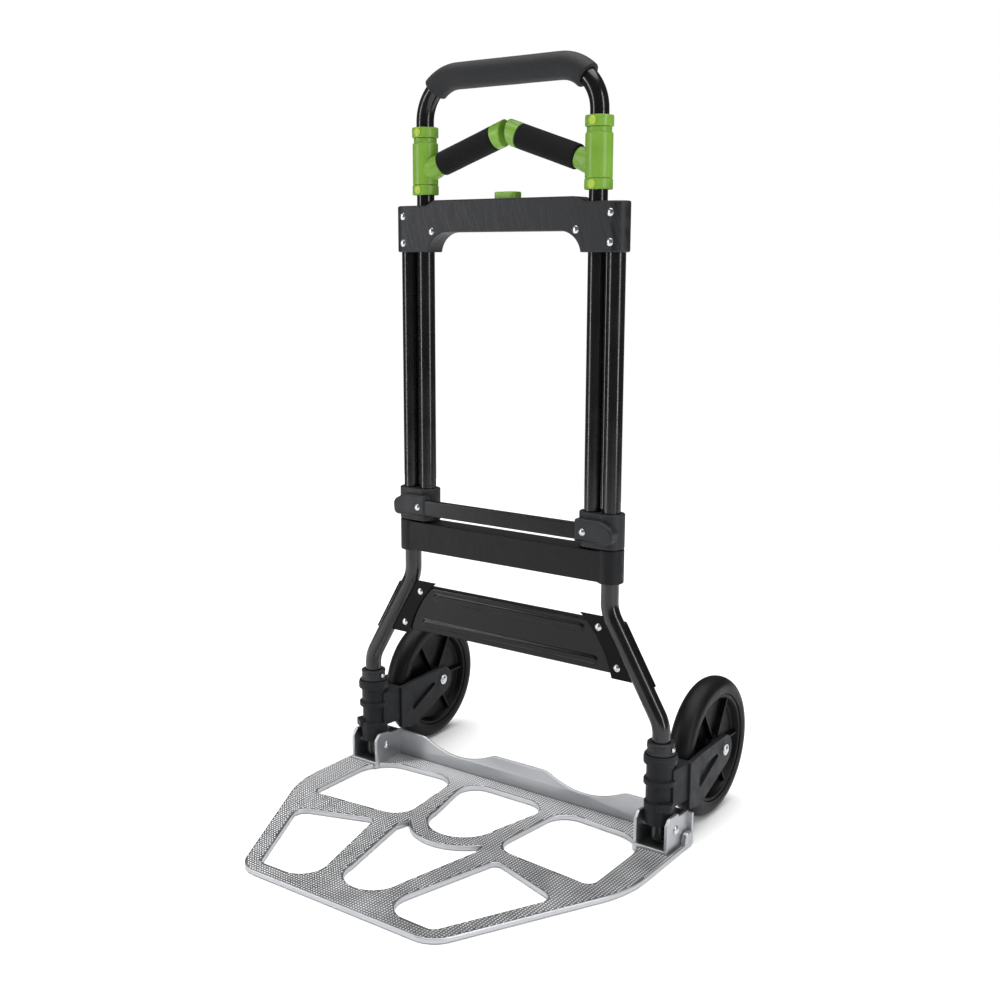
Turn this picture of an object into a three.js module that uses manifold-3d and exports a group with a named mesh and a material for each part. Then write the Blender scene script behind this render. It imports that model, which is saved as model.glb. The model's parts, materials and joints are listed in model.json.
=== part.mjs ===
// Folding luggage cart (hand truck), collapsed handle, toe plate down, wheels out.
// Millimetres, +Z up, +X to the cart's right seen from the front, -Y to the front.
// The tubes stand in one plane, y = 0 of the inner group; that group is set back so that
// the origin lies under the middle of the whole cart, on the ground.
import * as THREE from 'three';
import { mergeVertices } from 'three/addons/utils/BufferGeometryUtils.js';
import Module from 'manifold-3d';

const wasm = await Module();
wasm.setup();

// ---------------------------------------------------------------- driving dimensions
const GAP = 0.4;                 // clearance between touching pieces
const TUBE_R = 11;               // 22 mm steel tube
const TUBE_WALL = 1.5;
const BORE_R = TUBE_R + 0.5;     // bore round a tube
const TUBE_SIDES = 12;
const RIVET_SIDES = 8;
const WHEEL_SIDES = 28;
const ARC_STEP = Math.PI / 8;         // largest turn between two points of a rounded corner

const LEG_TOP_X = 152;           // upper, vertical stretch of a leg
const LEG_LOW_X = 226.4;         // lower, vertical stretch of a leg
const LEG_BOTTOM_Z = 14;
const LEG_TOP_Z = 765;
const KNEE_LOW_Z = 157;
const KNEE_HIGH_Z = 285;
const KNEE_R = 45;

const HANDLE_X = 126.4;          // handle tubes stand just inside the legs
const HANDLE_BOTTOM_Z = 366;
const HANDLE_TOP_Z = 922;
const HANDLE_BEND_R = 52;
const FOAM_R = 16;
const FOAM_BEND_ANGLE = Math.PI / 4;

const LOWER_YOKE = { z0: 321, z1: 363, r: 15.5 };
const UPPER_YOKE = { z0: 710.8, z1: 768.5, r: 15.5, archZ: 735.3, archX: 83, archR: 30, crownZ: 774.5, crownX: 103 };
const SLIDER = { z0: 363.5, z1: 406, r: 16.5, padX0: 115, padX1: 163, padY: -24, padZ0: 371.5, padZ1: 398.5 };
const CROSSBAR = { z0: 373, z1: 393.5, y0: -22, y1: -14.5, wall: 1.2 };

const COLLAR_R = 16.5;
const LOWER_COLLAR = { z0: 781.5, z1: 793.5 };
const UPPER_COLLAR = { z0: 851.2, z1: 863.7 };
const GRIP_START = new THREE.Vector3(HANDLE_X, 0, 809.4);
const GRIP_END = new THREE.Vector3(18.6, 0, 846.4);
const GRIP_FOAM_R = 15;
const GRIP_FOAM_X = 99;
const GRIP_CORE_R = 7.5;
const GRIP_FACE_X = 5;

const BUTTON_TRAVEL = 6;
const BOLT_Z = 757;
const BOLT_R = 4;
const SLOT_X = 14;               // where a lock bolt's pin sits in the button's slanted slot

const PANEL = { z0: 207, z1: 270.5, topX: 143, lowX: 178, thickness: 1.8, flange: 9 };
const PANEL_BEADS = [[258, 112], [220, 132]];   // height and half length of each pressed bead
const PANEL_BEAD_R = 4.5;
const GUSSET = {
  y0: -3.2, y1: -1.2, tipX: 112, topZ: 278, lowX: 158, lowZ: 202, edgeR: 145, footLength: 34, sheetT: 2.6,
};

const WHEEL_R = 90;
const WHEEL_HALF_WIDTH = 16;
const AXLE_Y = 127;
const AXLE_R = 5;
const HUB_R = 69.4;
const ARM_OUTER = 25;            // fork arm faces, either side of the wheel's plane
const ARM_INNER = 19;

const PLATE_T = 6.5;
const PLATE_HALF_WIDTH = 256.5;
const PLATE_FRONT_Y = -339;
const WALL_Y0 = 31;
const WALL_Y1 = 35;
const WALL_Z = 41;
const PIN_Z = 29;
const PIN_R = 3.5;
const EAR_INNER = 18.7;          // clevis ear faces, either side of the leg
const EAR_OUTER = 23;

const STOP_BAR = { y0: -24, y1: -20, z0: 1, z1: 9.5 };     // joins the ears' front feet
const LUG = { x0: 250, x1: 257.5, y0: 13, y1: 29, z1: 20 };   // rubbing block at each rear corner

const TUBE_PLANE_Y = -(PLATE_FRONT_Y + AXLE_Y + WHEEL_R) / 2;

// ---------------------------------------------------------------- materials
const finish = (color, roughness, metalness) => new THREE.MeshStandardMaterial({ color, roughness, metalness });
const BLACK_STEEL = finish(0x17181a, 0.3, 0.5);
const CHARCOAL = finish(0x3c3e40, 0.55, 0);
const GREEN = finish(0x6fae37, 0.4, 0);
const ZINC = finish(0xc4c7ca, 0.3, 0.9);
const FOAM = finish(0x3a3b3d, 0.95, 0);
const SIDE_FOAM = finish(0x1a1a1b, 0.95, 0);
const ALUMINIUM = finish(0xa9abae, 0.45, 0.8);
const RUBBER = finish(0x333436, 0.7, 0);
const HUB_PLASTIC = finish(0x1d1e20, 0.5, 0);

// ---------------------------------------------------------------- solids: joining and cutting
const AXIS_X = new THREE.Vector3(1, 0, 0);
const AXIS_Y = new THREE.Vector3(0, 1, 0);
const AXIS_Z = new THREE.Vector3(0, 0, 1);
const FRONT = new THREE.Vector3(0, -1, 0);

// A closed geometry as a solid: positions only, shared corners merged, slivers dropped.
function solid(geometry) {
  const plain = geometry.clone();
  for (const name of Object.keys(plain.attributes)) {
    if (name !== 'position') plain.deleteAttribute(name);
  }
  const merged = mergeVertices(plain, 1e-4);
  const corners = merged.index.array;
  const triangles = [];
  for (let i = 0; i < corners.length; i += 3) {
    const [a, b, c] = [corners[i], corners[i + 1], corners[i + 2]];
    if (a !== b && b !== c && c !== a) triangles.push(a, b, c);
  }
  return new wasm.Manifold(new wasm.Mesh({
    numProp: 3,
    vertProperties: new Float32Array(merged.attributes.position.array),
    triVerts: new Uint32Array(triangles),
  }));
}

function geometryOf(body) {
  const mesh = body.getMesh();
  const geometry = new THREE.BufferGeometry();
  geometry.setAttribute('position', new THREE.BufferAttribute(mesh.vertProperties, mesh.numProp));
  geometry.setIndex(new THREE.BufferAttribute(mesh.triVerts, 1));
  geometry.computeVertexNormals();
  return geometry;
}

const joined = (...pieces) => pieces.map(solid).reduce((all, one) => all.add(one));
const cut = (body, ...tools) => tools.map(solid).reduce((left, tool) => left.subtract(tool), body);

// The same solid on the other side of the x = 0 plane, with its faces still pointing out.
function mirrored(geometry) {
  const other = geometry.clone().scale(-1, 1, 1);
  const corners = other.index.array;
  for (let i = 0; i < corners.length; i += 3) {
    [corners[i], corners[i + 1]] = [corners[i + 1], corners[i]];
  }
  return other;
}

// ---------------------------------------------------------------- shapes
const point = (x, y) => new THREE.Vector2(x, y);

function arcPoints(cx, cy, r, from, to, count) {
  const points = [];
  for (let i = 0; i <= count; i++) {
    const angle = from + ((to - from) * i) / count;
    points.push(point(cx + r * Math.cos(angle), cy + r * Math.sin(angle)));
  }
  return points;
}

// Corners given as [x, y, radius], with a round arc at each corner that has a radius.
function rounded(corners) {
  const points = [];
  corners.forEach(([x, y, radius], i) => {
    const here = point(x, y);
    if (!radius) {
      points.push(here);
      return;
    }
    const before = corners.at(i - 1);
    const after = corners[(i + 1) % corners.length];
    const back = point(before[0], before[1]).sub(here).normalize();
    const ahead = point(after[0], after[1]).sub(here).normalize();
    const half = Math.acos(THREE.MathUtils.clamp(back.dot(ahead), -1, 1)) / 2;
    const centre = back.clone().add(ahead).normalize().multiplyScalar(radius / Math.sin(half)).add(here);
    const start = back.clone().multiplyScalar(radius / Math.tan(half)).add(here).sub(centre);
    const end = ahead.clone().multiplyScalar(radius / Math.tan(half)).add(here).sub(centre);
    let sweep = end.angle() - start.angle();
    if (sweep > Math.PI) sweep -= 2 * Math.PI;
    if (sweep < -Math.PI) sweep += 2 * Math.PI;
    const count = Math.max(2, Math.ceil(Math.abs(sweep) / ARC_STEP));
    points.push(...arcPoints(centre.x, centre.y, radius, start.angle(), start.angle() + sweep, count));
  });
  return points;
}

const circle = (cx, cy, r, sides = TUBE_SIDES) => arcPoints(cx, cy, r, 0, 2 * Math.PI, sides).slice(0, -1);
const rectangle = (x0, x1, y0, y1, r = 0) => rounded([[x0, y0, r], [x1, y0, r], [x1, y1, r], [x0, y1, r]]);

// A plan with two straight sides and two half-round ends.
const stadium = (x0, x1, r) => [
  ...arcPoints(x1, 0, r, -Math.PI / 2, Math.PI / 2, 8),
  ...arcPoints(x0, 0, r, Math.PI / 2, 1.5 * Math.PI, 8),
];

function slab(outline, depth, holes = []) {
  const shape = new THREE.Shape(outline);
  shape.holes = holes.map((hole) => new THREE.Path(hole));
  return new THREE.ExtrudeGeometry(shape, { depth, bevelEnabled: false, steps: 1 });
}
// The outline is drawn in x and y, x and z, or y and z, and the slab runs along the third axis.
const alongZ = (outline, z0, z1, holes) => slab(outline, z1 - z0, holes).translate(0, 0, z0);
const alongY = (outline, y0, y1, holes) => slab(outline, y1 - y0, holes).rotateX(Math.PI / 2).translate(0, y1, 0);
const TURN_TO_X = new THREE.Matrix4().makeBasis(AXIS_Y, AXIS_Z, AXIS_X);
const alongX = (outline, x0, x1, holes) => slab(outline, x1 - x0, holes).applyMatrix4(TURN_TO_X).translate(x0, 0, 0);

function block(x0, x1, y0, y1, z0, z1) {
  return new THREE.BoxGeometry(x1 - x0, y1 - y0, z1 - z0).translate((x0 + x1) / 2, (y0 + y1) / 2, (z0 + z1) / 2);
}

// A profile of [radius, height] turned about an axis through a place.
function turned(profile, place, axis = AXIS_Z, sides = TUBE_SIDES) {
  const points = profile.map(([r, h]) => point(r, h));
  const turn = new THREE.Quaternion().setFromUnitVectors(AXIS_Y, axis);
  return new THREE.LatheGeometry(points, sides).applyQuaternion(turn).translate(...place);
}
const pin = (r, h0, h1, place, axis, sides) => turned([[0, h0], [r, h0], [r, h1], [0, h1]], place, axis, sides);
const ringOf = (r0, r1, h0, h1) => [[r0, h0], [r1, h0], [r1, h1], [r0, h1], [r0, h0]];

// A round rod between two places.
function rodBetween(from, to, r0, r1 = r0) {
  const axis = to.clone().sub(from);
  const length = axis.length();
  return turned([[0, 0], [r0, 0], [r1, length], [0, length]], from.toArray(), axis.normalize());
}

// A centre line through corners in the x-z plane, with a bend of one radius at each inner corner.
// Its stations lie at the ends of the straight stretches and at even angles round the bends.
class BentLine extends THREE.Curve {
  constructor(corners, bendR, bendStep = ARC_STEP) {
    super();
    this.stations = [];
    corners.forEach(([x, z], i) => {
      if (i === 0 || i === corners.length - 1) {
        this.stations.push(new THREE.Vector3(x, 0, z));
        return;
      }
      const here = new THREE.Vector3(x, 0, z);
      const back = new THREE.Vector3(corners[i - 1][0], 0, corners[i - 1][1]).sub(here).normalize();
      const ahead = new THREE.Vector3(corners[i + 1][0], 0, corners[i + 1][1]).sub(here).normalize();
      const half = back.angleTo(ahead) / 2;
      const centre = back.clone().add(ahead).normalize().multiplyScalar(bendR / Math.sin(half)).add(here);
      const start = back.clone().multiplyScalar(bendR / Math.tan(half)).add(here).sub(centre);
      const turn = Math.PI - 2 * half;
      const axis = back.clone().negate().cross(ahead).normalize();
      const count = Math.ceil(turn / bendStep);
      for (let k = 0; k <= count; k++) {
        this.stations.push(start.clone().applyAxisAngle(axis, (turn * k) / count).add(centre));
      }
    });
    this.tangents = this.stations.map((here, i) => {
      const before = here.clone().sub(this.stations[Math.max(i - 1, 0)]).normalize();
      const after = this.stations[Math.min(i + 1, this.stations.length - 1)].clone().sub(here).normalize();
      return before.add(after).normalize();
    });
  }

  get steps() {
    return this.stations.length - 1;
  }

  // The stretch of this line that lies higher than a level.
  above(z) {
    const first = this.stations.findIndex((station) => station.z > z);
    const last = this.stations.findLastIndex((station) => station.z > z);
    this.stations = this.stations.slice(first, last + 1);
    this.tangents = this.tangents.slice(first, last + 1);
    return this;
  }

  getPointAt(u, target = new THREE.Vector3()) {
    const at = Math.min(u * this.steps, this.steps - 1e-9);
    const i = Math.floor(at);
    return target.lerpVectors(this.stations[i], this.stations[i + 1], at - i);
  }

  getTangentAt(u, target = new THREE.Vector3()) {
    return target.copy(this.tangents[Math.round(u * this.steps)]);
  }
}

function tubeAlong(line, r, innerR = 0) {
  const section = new THREE.Shape(circle(0, 0, r));
  if (innerR) section.holes = [new THREE.Path(circle(0, 0, innerR))];
  return new THREE.ExtrudeGeometry(section, { steps: line.steps, bevelEnabled: false, extrudePath: line });
}

// ---------------------------------------------------------------- rivets, screws, bolts
// A domed head and a shank along one axis, the head's seat at height 0 and the shank below it.
function rivetProfile(headR, headH, shankR, shankL) {
  return [[0, -shankL], [shankR, -shankL], [shankR, 0], [headR, 0], [0.7 * headR, 0.75 * headH], [0, headH]];
}
const frontRivet = (x, seatY, z, headR, headH, shankR, shankL) =>
  geometryOf(solid(turned(rivetProfile(headR, headH, shankR, shankL), [x, seatY, z], FRONT, RIVET_SIDES)));
const frontHole = (x, y0, y1, z, r) => pin(r, 0, y1 - y0, [x, y0, z], AXIS_Y, RIVET_SIDES);

// ---------------------------------------------------------------- frame
const YOKE_RIVETS = [[151.7, 755.5], [151.7, 722.3], [105.8, 736.6]];
const YOKE_RIVET = { headR: 4.5, headH: 1.8, shankR: 2.3 };
const GUSSET_RIVETS = [[138.5, 263.4], [165.5, 216.4]];
const GUSSET_RIVET = { headR: 4.5, headH: 1.8, shankR: 2.4, shankL: 6.5 };
const LEG_CORNERS = [
  [LEG_LOW_X, LEG_BOTTOM_Z], [LEG_LOW_X, KNEE_LOW_Z], [LEG_TOP_X, KNEE_HIGH_Z], [LEG_TOP_X, LEG_TOP_Z],
];
const LEG_LINE = new BentLine(LEG_CORNERS, KNEE_R);

function legTube() {
  const tube = joined(tubeAlong(LEG_LINE, TUBE_R, TUBE_R - TUBE_WALL));
  const rivetHoles = YOKE_RIVETS.filter(([x]) => x > LEG_TOP_X - TUBE_R)
    .map(([x, z]) => frontHole(x, -TUBE_R - 1, TUBE_R + 1, z, YOKE_RIVET.shankR + GAP));
  const pinHole = pin(PIN_R + GAP, -TUBE_R - 1, TUBE_R + 1, [LEG_LOW_X, 0, PIN_Z], AXIS_X);
  const collarRivetHole = guideRivetHole();
  return geometryOf(cut(tube, pinHole, collarRivetHole, ...rivetHoles));
}

// A moulded band round both legs, ribbed and open at the back.
function lowerYoke() {
  const { z0, z1, r } = LOWER_YOKE;
  const legBores = [-LEG_TOP_X, LEG_TOP_X].map((x) => circle(x, 0, BORE_R));
  const band = alongZ(stadium(-LEG_TOP_X, LEG_TOP_X, r), z0 + 1.5, z1 - 1.5, legBores);
  const sleeveR = r + 0.8;
  const sleeves = [-LEG_TOP_X, LEG_TOP_X].map((x) => turned(ringOf(BORE_R, sleeveR, z0, z1), [x, 0, 0]));
  const pockets = [];
  const pocketCount = 4;
  const ribT = 3;
  const inner = LEG_TOP_X - 20;
  const frontT = 3.5;
  const lipT = 4.5;
  const pitch = (2 * inner + ribT) / pocketCount;
  for (let i = 0; i < pocketCount; i++) {
    const x0 = -inner + i * pitch;
    pockets.push(block(x0, x0 + pitch - ribT, frontT - r, r + 1, z0 + lipT, z1 - lipT));
  }
  return geometryOf(cut(joined(band, ...sleeves), ...pockets));
}

// Front view of the upper yoke: raised middle on top, and an arched opening with round shoulders below.
function yokeFrontView() {
  const { z0, z1, r, archZ, archX, archR, crownZ, crownX } = UPPER_YOKE;
  const end = LEG_TOP_X + r + 1;
  const rampX = crownX + 12;
  const foot = Math.asin((z0 - archZ + archR) / archR);
  const shoulder = (x, from, to) => arcPoints(x, archZ - archR, archR, from, to, 5);
  return [
    point(-end, z0), ...shoulder(-archX, Math.PI - foot, Math.PI / 2),
    ...shoulder(archX, Math.PI / 2, foot), point(end, z0),
    ...rounded([
      [end, z1, 0], [rampX, z1, 8], [crownX, crownZ, 8], [-crownX, crownZ, 8], [-rampX, z1, 8], [-end, z1, 0],
    ]),
  ];
}

const BUTTON = { halfX: 15, halfY: 10, capZ: 767, topZ: 782.5, edge: 1.5, cornerR: 5.6 };
const CAVITY = { halfX: 40, halfY: 8, z0: 738.5, z1: 770.5 };
function upperYokeShell(side) {
  const { z0, z1, r } = UPPER_YOKE;
  const y0 = side < 0 ? -r - 1 : GAP / 2;
  const y1 = side < 0 ? -GAP / 2 : r + 1;
  const view = solid(alongY(yokeFrontView(), y0, y1));
  const plan = solid(alongZ(stadium(-LEG_TOP_X, LEG_TOP_X, r), z0 - 1, UPPER_YOKE.crownZ + 1));
  const tools = [block(-CAVITY.halfX, CAVITY.halfX, -CAVITY.halfY, CAVITY.halfY, CAVITY.z0, CAVITY.z1)];
  const { halfX, halfY } = BUTTON;
  const well = rectangle(-halfX - GAP, halfX + GAP, -halfY - GAP, halfY + GAP, BUTTON.cornerR + GAP);
  tools.push(alongZ(well, BUTTON.capZ - BUTTON_TRAVEL - 1, UPPER_YOKE.crownZ + 2));
  for (const s of [-1, 1]) {
    tools.push(pin(BORE_R, z0 - 1, LEG_TOP_Z + GAP, [s * LEG_TOP_X, 0, 0]));
    tools.push(pin(BORE_R, z0 - 1, z1 + 1, [s * HANDLE_X, 0, 0]));
    tools.push(pin(BOLT_R + GAP, CAVITY.halfX - 1, HANDLE_X, [0, 0, BOLT_Z], new THREE.Vector3(s, 0, 0)));
    for (const [x, z] of YOKE_RIVETS) {
      tools.push(frontHole(s * x, -r - 1, r + 1, z, YOKE_RIVET.shankR + GAP));
    }
  }
  return geometryOf(cut(view.intersect(plan), ...tools));
}

function crossPanel() {
  const { z0, z1, topX, lowX, thickness, flange } = PANEL;
  const half = thickness / 2;
  const section = [
    point(-half, z0), point(flange, z0), point(flange, z0 + thickness), point(half, z0 + thickness),
    point(half, z1 - thickness), point(flange, z1 - thickness), point(flange, z1), point(-half, z1),
  ];
  const ends = [point(-lowX, z0 - 1), point(lowX, z0 - 1), point(topX, z1 + 1), point(-topX, z1 + 1)];
  const sheet = solid(alongX(section, -lowX, lowX)).intersect(solid(alongY(ends, -flange, 2 * flange)));
  const beads = PANEL_BEADS.map(([z, halfLength]) =>
    alongX(arcPoints(half - 0.2, z, PANEL_BEAD_R, Math.PI / 2, 1.5 * Math.PI, 8), -halfLength, halfLength));
  const holeR = GUSSET_RIVET.shankR + GAP;
  const holes = GUSSET_RIVETS.flatMap(([x, z]) =>
    [-x, x].map((at) => frontHole(at, -thickness, thickness, z, holeR)));
  return geometryOf(cut(sheet.add(joined(...beads)), ...holes));
}

// A flat web beside the panel and a saddle round the back of the slanting leg.
function gusset() {
  const { y0, y1, tipX, topZ, lowX, lowZ, edgeR, footLength, sheetT } = GUSSET;
  const chord = point(lowX - tipX, lowZ - topZ);
  const middle = point((tipX + lowX) / 2, (topZ + lowZ) / 2);
  const reach = Math.sqrt(edgeR ** 2 - (chord.length() / 2) ** 2);
  const centre = middle.clone().add(point(chord.y, -chord.x).normalize().multiplyScalar(reach));
  const angleTo = (x, z) => Math.atan2(z - centre.y, x - centre.x);
  const inner = arcPoints(centre.x, centre.y, edgeR, angleTo(tipX, topZ), angleTo(lowX, lowZ), 8);
  const web = alongY([...inner, point(lowX + footLength, lowZ), point(LEG_TOP_X + 2, topZ)], y0, y1);
  const kneeLow = new THREE.Vector3(LEG_LOW_X, 0, KNEE_LOW_Z);
  const kneeHigh = new THREE.Vector3(LEG_TOP_X, 0, KNEE_HIGH_Z);
  const wrap = rodBetween(kneeLow, kneeHigh, TUBE_R + sheetT);
  const reachBox = solid(block(tipX, LEG_LOW_X, y0, TUBE_R + 2 * sheetT, lowZ, topZ - 6));
  const saddle = solid(wrap).intersect(reachBox);
  const legRoom = tubeAlong(LEG_LINE, TUBE_R + GAP);
  const holes = GUSSET_RIVETS.map(([x, z]) => frontHole(x, y0 - 1, y1 + 1, z, GUSSET_RIVET.shankR + GAP));
  return geometryOf(cut(solid(web).add(saddle), legRoom, ...holes));
}

// Fixed collar above the wheel fork, riveted right through the leg.
const GUIDE_COLLAR = { z0: 122.4, z1: 137, r: 16.7 };
const GUIDE_RIVET = { z: 129.5, shankR: 1.8, headR: 3.4, headH: 1.8 };
const guideRivetHole = () => {
  const reach = GUIDE_COLLAR.r + 1;
  return pin(GUIDE_RIVET.shankR + GAP, -reach, reach, [LEG_LOW_X, 0, GUIDE_RIVET.z], AXIS_X, RIVET_SIDES);
};
function guideCollar() {
  const { z0, z1, r } = GUIDE_COLLAR;
  const profile = [[BORE_R, z0], [r, z0], [r, z1 - 2], [r - 1.5, z1], [BORE_R, z1], [BORE_R, z0]];
  return geometryOf(cut(solid(turned(profile, [LEG_LOW_X, 0, 0])), guideRivetHole()));
}

function guideCollarRivet() {
  const seat = GUIDE_COLLAR.r + GAP;
  const { z, shankR, headR, headH } = GUIDE_RIVET;
  const profile = [
    [0, -seat - headH], [0.7 * headR, -seat - 0.75 * headH], [headR, -seat], [shankR, -seat],
    [shankR, seat], [headR, seat], [0.7 * headR, seat + 0.75 * headH], [0, seat + headH],
  ];
  return geometryOf(solid(turned(profile, [LEG_LOW_X, 0, z], AXIS_X, RIVET_SIDES)));
}

// ---------------------------------------------------------------- lock in the upper yoke
// Pressing the button down draws both bolts in along its two slanted slots.
const STEM = { halfX: 22, halfY: 2, z0: 752 };
const PIN_HALF = 2;
function releaseButton() {
  const { halfX, halfY, capZ, topZ, edge, cornerR } = BUTTON;
  const cap = alongZ(rectangle(-halfX, halfX, -halfY, halfY, cornerR), capZ, topZ - edge);
  const top = rectangle(edge - halfX, halfX - edge, edge - halfY, halfY - edge, cornerR - edge);
  const crown = alongZ(top, topZ - edge - 0.5, topZ);
  const stem = block(-STEM.halfX, STEM.halfX, -STEM.halfY, STEM.halfY, STEM.z0, capZ + 1);
  const flank = PIN_HALF + GAP;
  const slots = [-1, 1].map((s) => {
    const low = new THREE.Vector3(s * SLOT_X, 0, BOLT_Z);
    const high = new THREE.Vector3(s * (SLOT_X - BUTTON_TRAVEL), 0, BOLT_Z + BUTTON_TRAVEL);
    return [low, high].map(({ x, z }) => circle(x, z, flank * 1.1, 12));
  });
  const slotTools = slots.flatMap((ends, i) => {
    const s = i === 0 ? -1 : 1;
    const across = flank * Math.SQRT1_2;
    const bar = [
      point(s * SLOT_X - across, BOLT_Z - s * across), point(s * SLOT_X + across, BOLT_Z + s * across),
      point(s * (SLOT_X - BUTTON_TRAVEL) + across, BOLT_Z + BUTTON_TRAVEL + s * across),
      point(s * (SLOT_X - BUTTON_TRAVEL) - across, BOLT_Z + BUTTON_TRAVEL - s * across),
    ];
    const outline = s > 0 ? bar : bar.reverse();
    return [...ends, outline].map((shape) => alongY(shape, -4, 4));
  });
  return geometryOf(cut(joined(cap, crown, stem), ...slotTools));
}

function lockBolt() {
  const tipX = HANDLE_X - TUBE_R - GAP;
  const shaftX = STEM.halfX + BUTTON_TRAVEL + 2;
  const shaft = pin(BOLT_R, shaftX, tipX, [0, 0, BOLT_Z], AXIS_X);
  const tongueY = STEM.halfY + GAP;
  const tongueHalf = 3.5;
  const tongue = block(SLOT_X - 3, shaftX + 4, tongueY, tongueY + 3, BOLT_Z - tongueHalf, BOLT_Z + tongueHalf);
  const peg = pin(PIN_HALF, -STEM.halfY, STEM.halfY + 1, [SLOT_X, 0, BOLT_Z], AXIS_Y, 12);
  const bridge = block(shaftX - 0.5, shaftX + 4, 0, STEM.halfY + 3, BOLT_Z - 2.5, BOLT_Z + 2.5);
  return geometryOf(joined(shaft, tongue, peg, bridge));
}

class Helix extends THREE.Curve {
  constructor(r, z0, z1, turns) {
    super();
    Object.assign(this, { r, z0, z1, turns });
  }

  getPoint(t, target = new THREE.Vector3()) {
    const angle = 2 * Math.PI * this.turns * t;
    return target.set(this.r * Math.cos(angle), this.r * Math.sin(angle), this.z0 + (this.z1 - this.z0) * t);
  }
}

function buttonSpring() {
  const wireR = 0.6;
  const turns = 4;
  const line = new Helix(4.6, CAVITY.z0 + wireR + GAP, STEM.z0 - wireR - GAP, turns);
  const section = new THREE.Shape(circle(0, 0, wireR, 6));
  const options = { steps: turns * 8, bevelEnabled: false, extrudePath: line };
  return geometryOf(solid(new THREE.ExtrudeGeometry(section, options)));
}

// ---------------------------------------------------------------- sliding handle
const HANDLE_CORNERS = [
  [HANDLE_X, HANDLE_BOTTOM_Z], [HANDLE_X, HANDLE_TOP_Z], [-HANDLE_X, HANDLE_TOP_Z], [-HANDLE_X, HANDLE_BOTTOM_Z],
];
const COLLAR_RIVETS_Z = [857.4, 787.5];
const COLLAR_RIVET = { headR: 4.4, headH: 1.5, shankR: 2, shankL: 7 };
const SLIDER_RIVET = { x: 125.7, z: 382.9, headR: 4.5, headH: 2, shankR: 2, shankL: 14 };

function handleTube() {
  const tube = solid(tubeAlong(new BentLine(HANDLE_CORNERS, HANDLE_BEND_R), TUBE_R, TUBE_R - TUBE_WALL));
  const holes = [-HANDLE_X, HANDLE_X].flatMap((x) =>
    [...COLLAR_RIVETS_Z, SLIDER_RIVET.z].map((z) => frontHole(x, -TUBE_R - 1, 0, z, SLIDER_RIVET.shankR + 2 * GAP)));
  return geometryOf(cut(tube, ...holes));
}

// Foam over the top bar and part of the way down each bend.
function handleFoamGrip() {
  const foamEndZ = HANDLE_TOP_Z - HANDLE_BEND_R * (1 - Math.cos(FOAM_BEND_ANGLE));
  const line = new BentLine(HANDLE_CORNERS, HANDLE_BEND_R).above(foamEndZ - 0.01);
  return geometryOf(solid(tubeAlong(line, FOAM_R, BORE_R)));
}

function stopCollar({ z0, z1 }, rivetZ) {
  const hole = frontHole(HANDLE_X, -COLLAR_R - 1, 0, rivetZ, COLLAR_RIVET.shankR + GAP);
  return geometryOf(cut(solid(turned(ringOf(BORE_R, COLLAR_R, z0, z1), [HANDLE_X, 0, 0])), hole));
}
const collarRivet = (z) => {
  const { headR, headH, shankR, shankL } = COLLAR_RIVET;
  return frontRivet(HANDLE_X, -COLLAR_R - GAP, z, headR, headH, shankR, shankL);
};

// Block round the handle tube and the leg behind the crossbar; it slides on the leg.
function sliderClamp() {
  const { z0, z1, r, padX0, padX1, padY, padZ0, padZ1 } = SLIDER;
  const bores = [HANDLE_X, LEG_TOP_X].map((x) => circle(x, 0, BORE_R));
  const body = alongZ(stadium(HANDLE_X, LEG_TOP_X, r), z0, z1, bores);
  const pad = rounded([[padX0, padY, 1], [padX1, padY, 5], [padX1, 2 - r, 0], [padX0, 2 - r, 0]]);
  const hole = frontHole(SLIDER_RIVET.x, padY - 1, 0, SLIDER_RIVET.z, SLIDER_RIVET.shankR + GAP);
  const padBody = cut(solid(alongZ(pad, padZ0, padZ1)), ...bores.map((bore) => alongZ(bore, padZ0 - 1, padZ1 + 1)));
  return geometryOf(cut(solid(body).add(padBody), hole));
}
const sliderRivet = () => {
  const { x, z, headR, headH, shankR, shankL } = SLIDER_RIVET;
  return frontRivet(x, SLIDER.padY - GAP, z, headR, headH, shankR, shankL);
};

function crossbar() {
  const { z0, z1, y0, y1, wall } = CROSSBAR;
  const halfLength = SLIDER.padX0 - GAP;
  const outline = rectangle(y0, y1, z0, z1, 2);
  const hollow = rectangle(y0 + wall, y1 - wall, z0 + wall, z1 - wall);
  return geometryOf(solid(alongX(outline, -halfLength, halfLength, [hollow])));
}

// ---------------------------------------------------------------- side grips on the handle tubes
const GRIP_DIRECTION = GRIP_END.clone().sub(GRIP_START).normalize();
const gripAt = (x) => GRIP_START.clone().addScaledVector(GRIP_DIRECTION, (x - HANDLE_X) / GRIP_DIRECTION.x);

function sideGripArm() {
  const bottom = LOWER_COLLAR.z1 + GAP;
  const top = UPPER_COLLAR.z0 - GAP;
  const profile = [
    [BORE_R, bottom], [15.2, bottom], [16, bottom + 1], [16, 843.5], [14.5, 844.8],
    [14.5, top], [BORE_R, top], [BORE_R, bottom],
  ];
  const stub = rodBetween(gripAt(HANDLE_X), gripAt(GRIP_FOAM_X + 1), 14.5, 12.5);
  const core = rodBetween(gripAt(HANDLE_X - 20), gripAt(14), GRIP_CORE_R);
  const bore = pin(BORE_R, bottom - 1, top + 1, [HANDLE_X, 0, 0]);
  return geometryOf(cut(joined(turned(profile, [HANDLE_X, 0, 0]), stub, core), bore));
}

function sideGripFoam() {
  const length = gripAt(GRIP_FOAM_X).distanceTo(gripAt(GRIP_END.x));
  const profile = ringOf(GRIP_CORE_R + GAP, GRIP_FOAM_R, 0, length);
  return geometryOf(solid(turned(profile, gripAt(GRIP_FOAM_X).toArray(), GRIP_DIRECTION)));
}

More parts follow.
